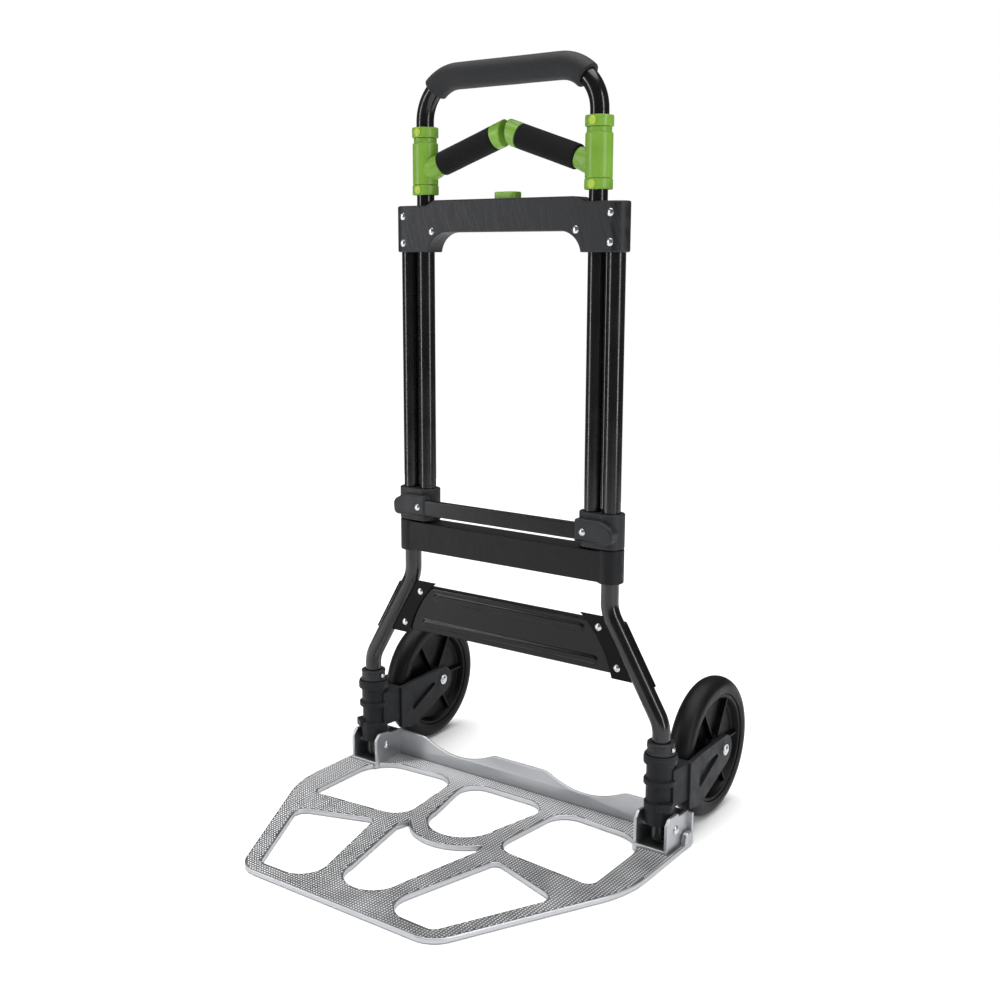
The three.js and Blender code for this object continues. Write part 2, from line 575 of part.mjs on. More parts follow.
function sideGripCap() {
  const cap = rodBetween(gripAt(GRIP_END.x - GAP), gripAt(-8), GRIP_FOAM_R);
  const socket = rodBetween(gripAt(GRIP_END.x + 1), gripAt(13.4), GRIP_CORE_R + GAP);
  return geometryOf(cut(solid(cap), socket, block(-40, GRIP_FACE_X, -30, 30, 800, 900)));
}

// ---------------------------------------------------------------- wheels and their forks
// Drawn about the leg's axis: x across the wheel, y from the leg to the axle.
const FORK_Z = 90;
const CROWN = { frontHalf: 19, backHalf: 22, backY: 38, z0: 56, z1: 104 };
const NOSE = { z0: 54, z1: 64 };   // cam on the sleeve that the outer ear pushes as the plate folds
function forkSleeve() {
  const base = [[17.6, 34], [18.2, 54.5], [18.9, 55.5], [18.9, 61]];
  const waist = [[15.8, 62.5], [15.8, 84]];
  const middleRing = [[20, 85], [20, 90.5]];
  const neck = [[16.2, 92], [16.2, 109.5]];
  const topRing = [[20.8, 111.5], [20.8, 122]];
  const outside = [...base, ...waist, ...middleRing, ...neck, ...topRing];
  const profile = [[BORE_R, 34], ...outside, [BORE_R, 122], [BORE_R, 34]];
  return turned(profile, [LEG_LOW_X, 0, 0], AXIS_Z, 16);
}

function armOutline() {
  const endR = 20;
  const start = Math.PI / 2;
  const lowAngle = THREE.MathUtils.degToRad(-67);
  return [
    point(31, 45), point(46, 42), point(50, 40), point(66, 41.5),
    ...arcPoints(AXLE_Y, FORK_Z - 1, endR, lowAngle, start, 6),
    point(60, 107), point(40, 106), point(31, 104),
  ];
}

function wheelFork() {
  const roomHalf = WHEEL_HALF_WIDTH + 2;
  const axle = [LEG_LOW_X, AXLE_Y, FORK_Z];
  const tyreRoom = pin(WHEEL_R + 3, -roomHalf, roomHalf, axle, AXIS_X, WHEEL_SIDES);
  const { frontHalf, backHalf, backY, z0, z1 } = CROWN;
  const crown = rounded([
    [LEG_LOW_X - frontHalf, 0, 0], [LEG_LOW_X + frontHalf, 0, 0],
    [LEG_LOW_X + backHalf, backY, 3], [LEG_LOW_X - backHalf, backY, 3],
  ]);
  const crownBody = cut(solid(alongZ(crown, z0, z1)), tyreRoom);
  const recessDepth = 2;
  const recess = rounded([[56, 63, 3], [106, 89, 3], [56, 87, 3]]);
  const arms = [-1, 1].map((s) => {
    const faces = [LEG_LOW_X + s * ARM_INNER, LEG_LOW_X + s * ARM_OUTER].sort((a, b) => a - b);
    const plate = solid(alongX(armOutline(), ...faces));
    const outer = LEG_LOW_X + s * ARM_OUTER;
    return cut(plate, alongX(recess, outer - recessDepth, outer + recessDepth));
  });
  const bore = pin(BORE_R, 30, 126, [LEG_LOW_X, 0, 0]);
  const axleHole = pin(AXLE_R + GAP, -2 * ARM_OUTER, 2 * ARM_OUTER, axle, AXIS_X);
  const nose = rounded([[LEG_LOW_X + 6, -22, 4], [LEG_LOW_X + 23, -12, 5], [LEG_LOW_X + 17, 6, 0], [LEG_LOW_X, 0, 0]]);
  const core = crownBody.add(joined(forkSleeve(), alongZ(nose, NOSE.z0, NOSE.z1)));
  const body = arms.reduce((all, arm) => all.add(arm), core);
  return geometryOf(cut(body, bore, axleHole));
}

function axleBolt() {
  const seat = ARM_OUTER + GAP;
  const headR = 7.2;
  const headH = 3.4;
  const profile = [
    [0, -seat - headH], [0.6 * headR, -seat - headH], [headR, -seat], [AXLE_R, -seat],
    [AXLE_R, seat], [headR, seat], [0.6 * headR, seat + headH], [0, seat + headH],
  ];
  return geometryOf(solid(turned(profile, [LEG_LOW_X, AXLE_Y, FORK_Z], AXIS_X)));
}

function tyre() {
  const w = WHEEL_HALF_WIDTH;
  const profile = [
    [HUB_R + GAP, -w + 2], [HUB_R + 3, -w], [80, -w], [87.5, -w + 5.5], [WHEEL_R, -w + 12],
    [WHEEL_R, w - 12], [87.5, w - 5.5], [80, w], [HUB_R + 3, w], [HUB_R + GAP, w - 2],
    [HUB_R + GAP, -w + 2],
  ];
  return geometryOf(solid(turned(profile, [LEG_LOW_X, AXLE_Y, FORK_Z], AXIS_X, WHEEL_SIDES)));
}

function wheelHub() {
  const boss = 17.8;
  const bossR = 15;
  const rimR = 65;
  const webHalf = 4;
  const rimHalf = WHEEL_HALF_WIDTH - 3;
  const profile = [
    [AXLE_R + GAP, -boss], [bossR, -boss], [bossR + 2, -webHalf], [rimR - 2, -webHalf], [rimR, -rimHalf],
    [HUB_R, -rimHalf], [HUB_R, rimHalf],
    [rimR, rimHalf], [rimR - 2, webHalf], [bossR + 2, webHalf], [bossR, boss], [AXLE_R + GAP, boss],
    [AXLE_R + GAP, -boss],
  ];
  const centre = [LEG_LOW_X, AXLE_Y, FORK_Z];
  const ribs = [];
  const ribCount = 6;
  for (let i = 0; i < ribCount; i++) {
    const rib = block(2 - rimHalf, rimHalf - 2, -1.5, 1.5, bossR, rimR + 2).rotateX((i * 2 * Math.PI) / ribCount);
    ribs.push(rib.translate(...centre));
  }
  return geometryOf(joined(turned(profile, centre, AXIS_X, WHEEL_SIDES), ...ribs));
}

// ---------------------------------------------------------------- toe plate
const bothSides = (half) => [...half, ...half.map(([x, y, r]) => [-x, y, r]).reverse()];
const plateOutline = () => rounded(bothSides([
  [141.8, PLATE_FRONT_Y, 38], [PLATE_HALF_WIDTH, -123, 150], [PLATE_HALF_WIDTH, WALL_Y1, 5],
]));

// The six openings; a pair beside the middle at the back and another at the front.
const rearSideOpening = () => rounded([[215.4, -3.9, 46], [215.3, -138.4, 12], [70.5, -126.7, 28], [84.8, 4.3, 30]]);
const frontSideOpening = () => rounded([[197, -187.5, 14], [128.5, -318.5, 12], [50, -317, 30], [94.5, -153, 9]]);
const rearArc = { y: -90, r: 46 };
const centreRearOpening = () => [
  ...rounded([[rearArc.r, rearArc.y, 0], [68, 7, 27], [-68, 7, 27], [-rearArc.r, rearArc.y, 0]]),
  ...arcPoints(0, rearArc.y, rearArc.r, Math.PI, 2 * Math.PI, 14).slice(1, -1),
];
function centreFrontOpening() {
  const bandR = 70;
  const cornerX = 59;
  const spread = Math.asin(cornerX / bandR);
  const band = arcPoints(0, rearArc.y, bandR, -Math.PI / 2 + spread * 0.93, -Math.PI / 2 - spread * 0.93, 12);
  const endR = 36.5;
  const end = arcPoints(0, -262, endR, Math.PI, 2 * Math.PI, 12);
  return [point(61, -150), point(60.5, -143), ...band, point(-60.5, -143), point(-61, -150), ...end];
}

function rearWall() {
  const dipHalf = 58.5;
  const dipX = 101.5;
  const dipDepth = 15.5;
  const dipR = (dipHalf ** 2 + dipDepth ** 2) / (2 * dipDepth);
  const spread = Math.asin(dipHalf / dipR);
  const dip = (x) => arcPoints(x, WALL_Z - dipDepth + dipR, dipR, -Math.PI / 2 + spread, -Math.PI / 2 - spread, 8);
  const w = PLATE_HALF_WIDTH - 1;
  return alongY([point(-w, 0.5), point(w, 0.5), point(w, WALL_Z), ...dip(dipX), ...dip(-dipX), point(-w, WALL_Z)],
    WALL_Y0, WALL_Y1);
}

function earOutline() {
  return rounded([
    [-22, 1, 0], [WALL_Y0 + 1, 1, 0], [WALL_Y0 + 1, 43, 2], [11, 43, 2], [4, 48, 3], [-16, 48, 6], [-22, 40, 4],
  ]);
}

function toePlate() {
  const holes = [1, -1].flatMap((s) => [rearSideOpening(), frontSideOpening()]
    .map((hole) => (s > 0 ? hole : hole.map((p) => point(-p.x, p.y)).reverse())));
  holes.push(centreRearOpening(), centreFrontOpening());
  const parts = [alongZ(plateOutline(), 0, PLATE_T, holes), rearWall()];
  for (const s of [-1, 1]) {
    for (const near of [-EAR_OUTER, EAR_INNER]) {
      const x = s * LEG_LOW_X + near;
      parts.push(alongX(earOutline(), x, x + EAR_OUTER - EAR_INNER));
    }
    const leg = s * LEG_LOW_X;
    parts.push(block(leg - EAR_OUTER, leg + EAR_OUTER, STOP_BAR.y0, STOP_BAR.y1, STOP_BAR.z0, STOP_BAR.z1));
    const lug = [s * LUG.x0, s * LUG.x1].sort((a, b) => a - b);
    parts.push(block(...lug, LUG.y0, LUG.y1, 0.5, LUG.z1));
  }
  const reach = EAR_OUTER + 1;
  const pinHoles = [-1, 1].map((s) => pin(PIN_R + GAP, -reach, reach, [s * LEG_LOW_X, 0, PIN_Z], AXIS_X));
  return geometryOf(cut(joined(...parts), ...pinHoles));
}

function hingePin() {
  const seat = EAR_OUTER + GAP;
  const headR = 6;
  const headH = 2;
  const profile = [
    [0, -seat - headH], [headR - 1.5, -seat - headH], [headR, -seat], [PIN_R, -seat],
    [PIN_R, seat], [headR, seat], [headR - 1.5, seat + headH], [0, seat + headH],
  ];
  return geometryOf(solid(turned(profile, [LEG_LOW_X, 0, PIN_Z], AXIS_X)));
}

// ---------------------------------------------------------------- assembly
const cart = new THREE.Group();
const truck = new THREE.Group();
truck.position.y = TUBE_PLANE_Y;
cart.add(truck);

function place(name, geometry, material) {
  const mesh = new THREE.Mesh(geometry, material);
  mesh.name = name;
  truck.add(mesh);
}
function placePair(name, geometry, material) {
  place(`${name}_right`, geometry, material);
  place(`${name}_left`, mirrored(geometry), material);
}

placePair('leg_tube', legTube(), BLACK_STEEL);
place('lower_yoke', lowerYoke(), CHARCOAL);
place('upper_yoke_front', upperYokeShell(-1), CHARCOAL);
place('upper_yoke_rear', upperYokeShell(1), CHARCOAL);
['top', 'low', 'inner'].forEach((where, i) => {
  const [x, z] = YOKE_RIVETS[i];
  const seat = UPPER_YOKE.r + GAP;
  const { headR, headH, shankR } = YOKE_RIVET;
  placePair(`yoke_rivet_${where}`, frontRivet(x, -seat, z, headR, headH, shankR, 2 * seat + 1.5), ZINC);
});
place('cross_panel', crossPanel(), BLACK_STEEL);
placePair('gusset', gusset(), BLACK_STEEL);
['top', 'low'].forEach((where, i) => {
  const [x, z] = GUSSET_RIVETS[i];
  const { headR, headH, shankR, shankL } = GUSSET_RIVET;
  placePair(`gusset_rivet_${where}`, frontRivet(x, GUSSET.y0 - GAP, z, headR, headH, shankR, shankL), ZINC);
});
placePair('guide_collar', guideCollar(), CHARCOAL);
placePair('guide_collar_rivet', guideCollarRivet(), ZINC);
placePair('hinge_pin', hingePin(), ZINC);

place('release_button', releaseButton(), GREEN);
placePair('lock_bolt', lockBolt(), ZINC);
place('button_spring', buttonSpring(), ZINC);

place('handle_tube', handleTube(), BLACK_STEEL);
place('handle_foam_grip', handleFoamGrip(), FOAM);
placePair('upper_stop_collar', stopCollar(UPPER_COLLAR, COLLAR_RIVETS_Z[0]), GREEN);
placePair('lower_stop_collar', stopCollar(LOWER_COLLAR, COLLAR_RIVETS_Z[1]), GREEN);
placePair('upper_collar_rivet', collarRivet(COLLAR_RIVETS_Z[0]), GREEN);
placePair('lower_collar_rivet', collarRivet(COLLAR_RIVETS_Z[1]), GREEN);
placePair('slider_clamp', sliderClamp(), CHARCOAL);
placePair('slider_rivet', sliderRivet(), ZINC);
place('crossbar', crossbar(), BLACK_STEEL);

placePair('side_grip_arm', sideGripArm(), GREEN);
placePair('side_grip_foam', sideGripFoam(), SIDE_FOAM);
placePair('side_grip_cap', sideGripCap(), GREEN);

placePair('wheel_fork', wheelFork(), CHARCOAL);
placePair('axle_bolt', axleBolt(), ZINC);
placePair('tyre', tyre(), RUBBER);
placePair('wheel_hub', wheelHub(), HUB_PLASTIC);
place('toe_plate', toePlate(), ALUMINIUM);

export default cart;
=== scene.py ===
import json
from math import acos, asin, atan2, ceil, cos, hypot, pi, radians, sin, sqrt, tan

import bmesh
import bpy
import numpy as np
from mathutils import Matrix, Vector, noise
from mathutils.geometry import tessellate_polygon

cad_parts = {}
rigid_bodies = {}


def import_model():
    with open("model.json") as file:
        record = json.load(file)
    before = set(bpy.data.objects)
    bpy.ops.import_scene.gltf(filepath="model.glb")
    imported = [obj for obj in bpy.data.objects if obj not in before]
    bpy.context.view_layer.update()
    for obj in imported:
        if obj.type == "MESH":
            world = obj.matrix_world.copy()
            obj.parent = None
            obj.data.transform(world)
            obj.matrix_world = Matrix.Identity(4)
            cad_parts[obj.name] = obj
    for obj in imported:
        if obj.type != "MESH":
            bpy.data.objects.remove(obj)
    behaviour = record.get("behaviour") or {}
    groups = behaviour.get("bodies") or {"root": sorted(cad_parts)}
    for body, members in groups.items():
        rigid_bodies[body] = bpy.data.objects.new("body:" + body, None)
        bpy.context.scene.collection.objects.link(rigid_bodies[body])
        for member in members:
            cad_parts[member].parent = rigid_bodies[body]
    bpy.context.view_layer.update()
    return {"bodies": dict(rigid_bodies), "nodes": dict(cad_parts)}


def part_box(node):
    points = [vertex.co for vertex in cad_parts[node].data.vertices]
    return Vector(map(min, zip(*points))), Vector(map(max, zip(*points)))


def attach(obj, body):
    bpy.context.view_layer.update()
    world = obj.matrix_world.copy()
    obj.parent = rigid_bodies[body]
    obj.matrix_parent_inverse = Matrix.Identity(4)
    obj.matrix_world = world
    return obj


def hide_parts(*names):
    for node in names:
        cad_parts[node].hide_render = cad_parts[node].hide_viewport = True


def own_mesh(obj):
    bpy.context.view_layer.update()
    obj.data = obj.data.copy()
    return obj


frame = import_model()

# Shapes are drawn in millimetres, with y = 0 in the plane of the tubes, and are put into
# metres in the part's frame when their object is made.
MM = 0.001
LEG_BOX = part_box("leg_tube_right")
TUBE_PLANE_Y = (LEG_BOX[0][1] + LEG_BOX[1][1]) / 2

# ------------------------------------------------------------------ dimensions, as in the CAD
TUBE_R = 11.0
TUBE_BORE_R = 9.5
BORE_R = 11.4
LEG_TOP_X = 152.0
LEG_LOW_X = 226.4
LEG_BOTTOM_Z = 14.0
LEG_TOP_Z = 765.0
KNEE_LOW_Z = 157.0
KNEE_HIGH_Z = 285.0
KNEE_R = 45.0
HANDLE_X = 126.4
HANDLE_BOTTOM_Z = 366.0
HANDLE_TOP_Z = 922.0
HANDLE_BEND_R = 52.0
WHEEL_R = 90.0
WHEEL_HALF = 16.0
AXLE_Y = 127.0
AXLE_Z = 90.0
PIN_Z = 29.0
PLATE_T = 6.5
WALL_Y0 = 31.0
WALL_Y1 = 35.0
WALL_Z = 41.0
EAR_IN = 18.7
EAR_OUT = 23.0


# ------------------------------------------------------------------ outlines
def arc(cx, cy, r, start, end, count):
    angles = [start + (end - start) * i / count for i in range(count + 1)]
    return [(cx + r * cos(a), cy + r * sin(a)) for a in angles]


def rounded(corners, step=pi / 18, closed=True):
    """Corners (x, y) or (x, y, radius), with a round arc at each corner that has a radius."""
    points = []
    count = len(corners)
    for i, corner in enumerate(corners):
        here = Vector(corner[:2])
        radius = corner[2] if len(corner) > 2 else 0
        if not radius or (not closed and i in (0, count - 1)):
            points.append(tuple(here))
            continue
        back = (Vector(corners[i - 1][:2]) - here).normalized()
        ahead = (Vector(corners[(i + 1) % count][:2]) - here).normalized()
        half = acos(max(-1, min(1, back.dot(ahead)))) / 2
        centre = here + (back + ahead).normalized() * radius / sin(half)
        start = here + back * radius / tan(half) - centre
        end = here + ahead * radius / tan(half) - centre
        begin = atan2(start.y, start.x)
        sweep = atan2(end.y, end.x) - begin
        sweep = (sweep + pi) % (2 * pi) - pi
        points += arc(centre.x, centre.y, radius, begin, begin + sweep, max(3, ceil(abs(sweep) / step)))
    return points


def box_outline(u0, u1, v0, v1, r=0):
    return rounded([(u0, v0, r), (u1, v0, r), (u1, v1, r), (u0, v1, r)])


def wound(points, positive):
    """The same closed outline, anticlockwise if positive and clockwise if not."""
    area = sum(a[0] * b[1] - b[0] * a[1] for a, b in zip(points, points[1:] + points[:1]))
    return list(points) if (area > 0) == positive else list(reversed(points))


def inset(points, distance):
    """Every side of a closed outline moved to its left."""
    here = np.array(points, dtype=float)
    ahead = np.roll(here, -1, axis=0) - here
    ahead /= np.maximum(np.linalg.norm(ahead, axis=1), 1e-9)[:, None]
    normal = np.stack([-ahead[:, 1], ahead[:, 0]], axis=1)
    before = np.roll(normal, 1, axis=0)
    both = normal + before
    return here + distance * both / np.maximum(1 + (normal * before).sum(axis=1), 0.35)[:, None]


# ------------------------------------------------------------------ solids: (vertices, faces)
def joined(*parts):
    vertices, faces = [], []
    for part in parts:
        first = len(vertices)
        vertices += [tuple(v) for v in part[0]]
        faces += [tuple(i + first for i in face) for face in part[1]]
    return vertices, faces


def mirrored(part):
    return [(-v[0], v[1], v[2]) for v in part[0]], [tuple(reversed(face)) for face in part[1]]


def transformed(part, matrix):
    return [tuple(matrix @ Vector(v)) for v in part[0]], part[1]


def fillet_levels(low, high, edge, steps):
    """(inset, height) of each layer of a slab whose edges are rounded."""
    turns = [pi / 2 * (1 - k / steps) for k in range(steps + 1)]
    rise = [(edge * (1 - cos(a)), low + edge * (1 - sin(a))) for a in turns]
    return rise + [(d, low + high - w) for d, w in reversed(rise)]


AXES = {"x": lambda u, v, w: (w, u, v), "y": lambda u, v, w: (u, w, v), "z": lambda u, v, w: (u, v, w)}


def slab(outline, low, high, holes=(), edge=0.8, steps=3, axis="z"):
    """A flat piece with rounded edges. Its outline lies across the axis."""
    rings = [wound(outline, True)] + [wound(hole, False) for hole in holes]
    levels = fillet_levels(low, high, edge, steps)
    place = AXES[axis]
    vertices, faces, ends = [], [], [[], []]
    for ring in rings:
        count = len(ring)
        first = len(vertices)
        for distance, w in levels:
            vertices += [place(u, v, w) for u, v in inset(ring, distance)]
        for k in range(len(levels) - 1):
            low_row = first + k * count
            for i in range(count):
                j = (i + 1) % count
                faces.append((low_row + i, low_row + j, low_row + count + j, low_row + count + i))
        ends[0].append((ring, levels[0][0], first))
        ends[1].append((ring, levels[-1][0], first + (len(levels) - 1) * count))
    for side in ends:
        loops, numbers = [], []
        for ring, distance, first in side:
            loops.append([Vector((u, v, 0)) for u, v in inset(ring, distance)])
            numbers += range(first, first + len(ring))
        faces += [tuple(numbers[i] for i in triangle) for triangle in tessellate_polygon(loops)]
    return vertices, faces


def turned(profile, centre=(0, 0, 0), axis=(0, 0, 1), sides=48, closed=False):
    """A profile of (radius, height) turned about an axis through the centre."""
    turn = Vector((0, 0, 1)).rotation_difference(Vector(axis)).to_matrix()
    vertices, faces = [], []
    count = len(profile)
    for i in range(sides):
        a = 2 * pi * i / sides
        vertices += [tuple(turn @ Vector((r * cos(a), r * sin(a), h)) + Vector(centre)) for r, h in profile]
    for i in range(sides):
        here, there = i * count, (i + 1) % sides * count
        for k in range(count if closed else count - 1):
            j = (k + 1) % count
            faces.append((here + k, here + j, there + j, there + k))
    return vertices, faces


def bent(corners, radius, step=pi / 24):
    """A line in the x-z plane with a round bend at each inner corner."""
    last = len(corners) - 1
    named = [(x, z, radius if 0 < i < last else 0) for i, (x, z) in enumerate(corners)]
    return [Vector((x, 0, z)) for x, z in rounded(named, step, closed=False)]


class Line:
    """A line through stations, with the place and the direction at any distance along it."""

    def __init__(self, stations):
        self.stations = [Vector(p) for p in stations]
        last = len(self.stations) - 1
        self.marks = [0.0]
        for a, b in zip(self.stations, self.stations[1:]):
            self.marks.append(self.marks[-1] + (b - a).length)
        self.length = self.marks[-1]
        self.tangents = []
        for i, here in enumerate(self.stations):
            back = (here - self.stations[max(i - 1, 0)]).normalized()
            ahead = (self.stations[min(i + 1, last)] - here).normalized()
            self.tangents.append((back + ahead).normalized())

    def at(self, s):
        i = min(max(int(np.searchsorted(self.marks, s, side="right")) - 1, 0), len(self.marks) - 2)
        t = min(max((s - self.marks[i]) / (self.marks[i + 1] - self.marks[i]), 0), 1)
        place = self.stations[i].lerp(self.stations[i + 1], t)
        return place, self.tangents[i].lerp(self.tangents[i + 1], t).normalized()

    def higher_than(self, z):
        return Line([p for p in self.stations if p.z > z])


def pipe(line, outer, inner, edge=0.6, sides=40, spacing=None, across=(0, 1, 0)):
    """A tube along a line, its end edges rounded; inner = 0 leaves it solid."""
    across = Vector(across).normalized()
    turns = [pi / 2 * k / 4 for k in range(5)]
    fillet = [(edge * (1 - cos(a)), outer - edge * (1 - sin(a))) for a in turns]
    if spacing:
        middle = list(np.linspace(edge, line.length - edge, ceil(line.length / spacing)))[1:-1]
    else:
        middle = [s for s in line.marks if edge < s < line.length - edge]
    profile = fillet + [(s, outer) for s in middle]
    profile += [(line.length - s, r) for s, r in reversed(fillet)]
    walls = [(line.length, inner)] + [(s, inner) for s in reversed(middle)] + [(0, inner)] if inner else []
    vertices, faces = [], []
    for s, r in profile + walls:
        here, tangent = line.at(s)
        side = across.cross(tangent).normalized()
        for k in range(sides):
            a = 2 * pi * k / sides
            vertices.append(tuple(here + r * (cos(a) * side + sin(a) * across)))
    total = len(profile) + len(walls)
    for i in range(total if inner else total - 1):
        for k in range(sides):
            j = (k + 1) % sides
            low, high = i * sides, (i + 1) % total * sides
            faces.append((low + k, low + j, high + j, high + k))
    if not inner:
        faces.append(tuple(range(sides)))
        faces.append(tuple(range((total - 1) * sides, total * sides)))
    return vertices, faces


def band(x0, x1, r, low, high, edge=1.5, steps=4, pitch=1.5, marks=()):
    """A bar with half-round ends about x0 and x1. Its lowest and highest z are functions of x."""
    ends = [pi / 2 * k / 16 for k in range(17)]
    straight = sorted({*np.linspace(x0, x1, max(2, ceil((x1 - x0) / pitch))), *marks})

    def half_plan(distance):
        own = r - distance
        left = [(x0 - own * cos(a), own * sin(a)) for a in ends[:-1]]
        right = [(x1 + own * cos(a), own * sin(a)) for a in reversed(ends[:-1])]
        return left + [(x, own) for x in straight] + right

    turns = [pi / 2 * (1 - k / steps) for k in range(steps + 1)]
    rise = [(edge * (1 - cos(a)), edge * (1 - sin(a))) for a in turns]
    vertices, faces = [], []
    count = 0
    for level, (distance, lift) in enumerate(rise + list(reversed(rise))):
        plan = half_plan(distance)
        count = len(plan)
        upper = level > steps
        for side in (-1, 1):
            for x, w in plan:
                z = high(x) - lift if upper else low(x) + lift
                vertices.append((x, side * w, z))
    rows = 2 * (steps + 1)
    for k in range(rows - 1):
        for side in (0, 1):
            here, there = (2 * k + side) * count, (2 * k + 2 + side) * count
            faces += [(here + i, here + i + 1, there + i + 1, there + i) for i in range(count - 1)]
        for i in (0, count - 1):
            front, back = 2 * k * count + i, (2 * k + 1) * count + i
            faces.append((front, back, back + 2 * count, front + 2 * count))
    for k in (0, rows - 1):
        front, back = 2 * k * count, (2 * k + 1) * count
        faces += [(front + i, front + i + 1, back + i + 1, back + i) for i in range(count - 1)]
    return vertices, faces


def dome(r, height, rise=0.35, below=1.0, sides=24):
    """A low rivet head standing on z = 0 and reaching a little below it."""
    big = (r * r + (height - rise) ** 2) / (2 * (height - rise))
    spread = asin(min(1, r / big))
    cap = [(big * sin(a), height - big + big * cos(a)) for a in np.linspace(0, spread, 8)]
    return turned(cap + [(r, 0), (r * 0.7, -below), (0, -below)], sides=sides)


def head(x, y, z, r, height, axis=(0, -1, 0), **size):
    turn = Vector((0, 0, 1)).rotation_difference(Vector(axis)).to_matrix().to_4x4()
    return transformed(dome(r, height, **size), Matrix.Translation((x, y, z)) @ turn)


# ------------------------------------------------------------------ meshes and objects
def mesh_of(part, name):
    mesh = bpy.data.meshes.new(name)
    mesh.from_pydata([tuple(v) for v in part[0]], [], [tuple(f) for f in part[1]])
    work = bmesh.new()
    work.from_mesh(mesh)
    bmesh.ops.remove_doubles(work, verts=work.verts, dist=1e-4)
    bmesh.ops.dissolve_degenerate(work, edges=work.edges, dist=1e-5)
    bmesh.ops.recalc_face_normals(work, faces=work.faces)
    work.to_mesh(mesh)
    work.free()
    return mesh


def temporary(part):
    obj = bpy.data.objects.new("work", mesh_of(part, "work"))
    bpy.context.scene.collection.objects.link(obj)
    return obj


def carved(part, add=(), cut=(), keep=()):
    """The solid part with some solids joined on, others cut away and the rest kept within."""
    base = temporary(part)
    tools = []
    for operation, parts in (("UNION", add), ("INTERSECT", keep), ("DIFFERENCE", cut)):
        for tool_part in parts:
            tool = temporary(tool_part)
            tools.append(tool)
            step = base.modifiers.new("step", "BOOLEAN")
            step.operation = operation
            step.solver = "MANIFOLD"
            step.object = tool
    graph = bpy.context.evaluated_depsgraph_get()
    mesh = bpy.data.meshes.new_from_object(base.evaluated_get(graph))
    result = [tuple(v.co) for v in mesh.vertices], [tuple(f.vertices) for f in mesh.polygons]
    for obj in [base, *tools]:
        old = obj.data
        bpy.data.objects.remove(obj)
        bpy.data.meshes.remove(old)
    bpy.data.meshes.remove(mesh)
    if not result[1]:
        raise RuntimeError("a cut left nothing")
    return result


def put(name, part, body, slot, material, nodes=(), smooth=32, weighted=True):
    """Makes a piece from a part in millimetres, and lets it ride on its body."""
    mesh = mesh_of(part, name)
    mesh.transform(Matrix.Translation((0, TUBE_PLANE_Y, 0)) @ Matrix.Scale(MM, 4))
    obj = bpy.data.objects.new(name, mesh)
    bpy.context.scene.collection.objects.link(obj)
    mesh.materials.append(material)
    mesh.shade_smooth()
    mesh.set_sharp_from_angle(angle=radians(smooth))
    if weighted:
        step = obj.modifiers.new("normals", "WEIGHTED_NORMAL")
        step.keep_sharp = True
        step.weight = 100
    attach(obj, body)
    if nodes:
        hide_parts(*nodes)
    return obj


def put_pair(name, part, body, slot, material, node=None, **options):
    """The piece on the cart's right and its mirror image on the left."""
    pair = []
    for side, own in (("right", part), ("left", mirrored(part))):
        body_name = body if body in frame["bodies"] else f"{body}_{side}"
        nodes = [f"{node or name}_{side}"] if f"{node or name}_{side}" in frame["nodes"] else []
        pair.append(put(f"{name}_{side}_fine", own, body_name, slot, material, nodes, **options))
    return pair


# ------------------------------------------------------------------ materials
class Look:
    """A procedural material: one Principled shader and the nodes that vary its colour and surface."""

    def __init__(self, name, color, roughness, **sockets):
        self.material = bpy.data.materials.new(name)
        self.material.use_nodes = True
        self.tree = self.material.node_tree
        self.shader = self.tree.nodes["Principled BSDF"]
        self.color = color
        self.shader.inputs["Base Color"].default_value = (*color, 1)
        self.shader.inputs["Roughness"].default_value = roughness
        for socket, value in sockets.items():
            self.shader.inputs[socket.replace("_", " ")].default_value = value
        self.place = self.node("ShaderNodeTexCoord").outputs["Object"]

    def node(self, kind, links=(), **values):
        made = self.tree.nodes.new(kind)
        for key, value in values.items():
            setattr(made, key, value)
        for socket, source in dict(links).items():
            if hasattr(source, "is_output"):
                self.tree.links.new(source, made.inputs[socket])
            else:
                made.inputs[socket].default_value = source
        return made

    def link(self, source, socket):
        self.tree.links.new(source, self.shader.inputs[socket])

    def stretched(self, scale, turn=(0, 0, 0)):
        turned_place = self.node("ShaderNodeMapping", {"Vector": self.place, "Rotation": turn}).outputs[0]
        return self.node("ShaderNodeMapping", {"Vector": turned_place, "Scale": scale}).outputs[0]

    def noise(self, scale, detail=3.0, roughness=0.5, vector=None):
        links = {"Vector": vector or self.place, "Scale": scale, "Detail": detail, "Roughness": roughness}
        return self.node("ShaderNodeTexNoise", links).outputs["Fac"]

    def range(self, value, low, high, to_low, to_high):
        links = {"Value": value, "From Min": low, "From Max": high, "To Min": to_low, "To Max": to_high}
        return self.node("ShaderNodeMapRange", links).outputs["Result"]

    def shade(self, value, low, high, dark, light):
        """Base colour between two multiples of the colour, by a value between low and high."""
        ramp = self.node("ShaderNodeValToRGB", {"Fac": self.range(value, low, high, 0, 1)})
        for stop, factor in zip(ramp.color_ramp.elements, (dark, light)):
            stop.color = (*[min(1, c * factor) for c in self.color], 1)
        self.link(ramp.outputs["Color"], "Base Color")
        return ramp.outputs["Color"]

    def bump(self, height, strength, distance, before=None):
        links = {"Height": height, "Strength": strength, "Distance": distance}
        if before is not None:
            links["Normal"] = before
        made = self.node("ShaderNodeBump", links).outputs["Normal"]
        self.link(made, "Normal")
        return made


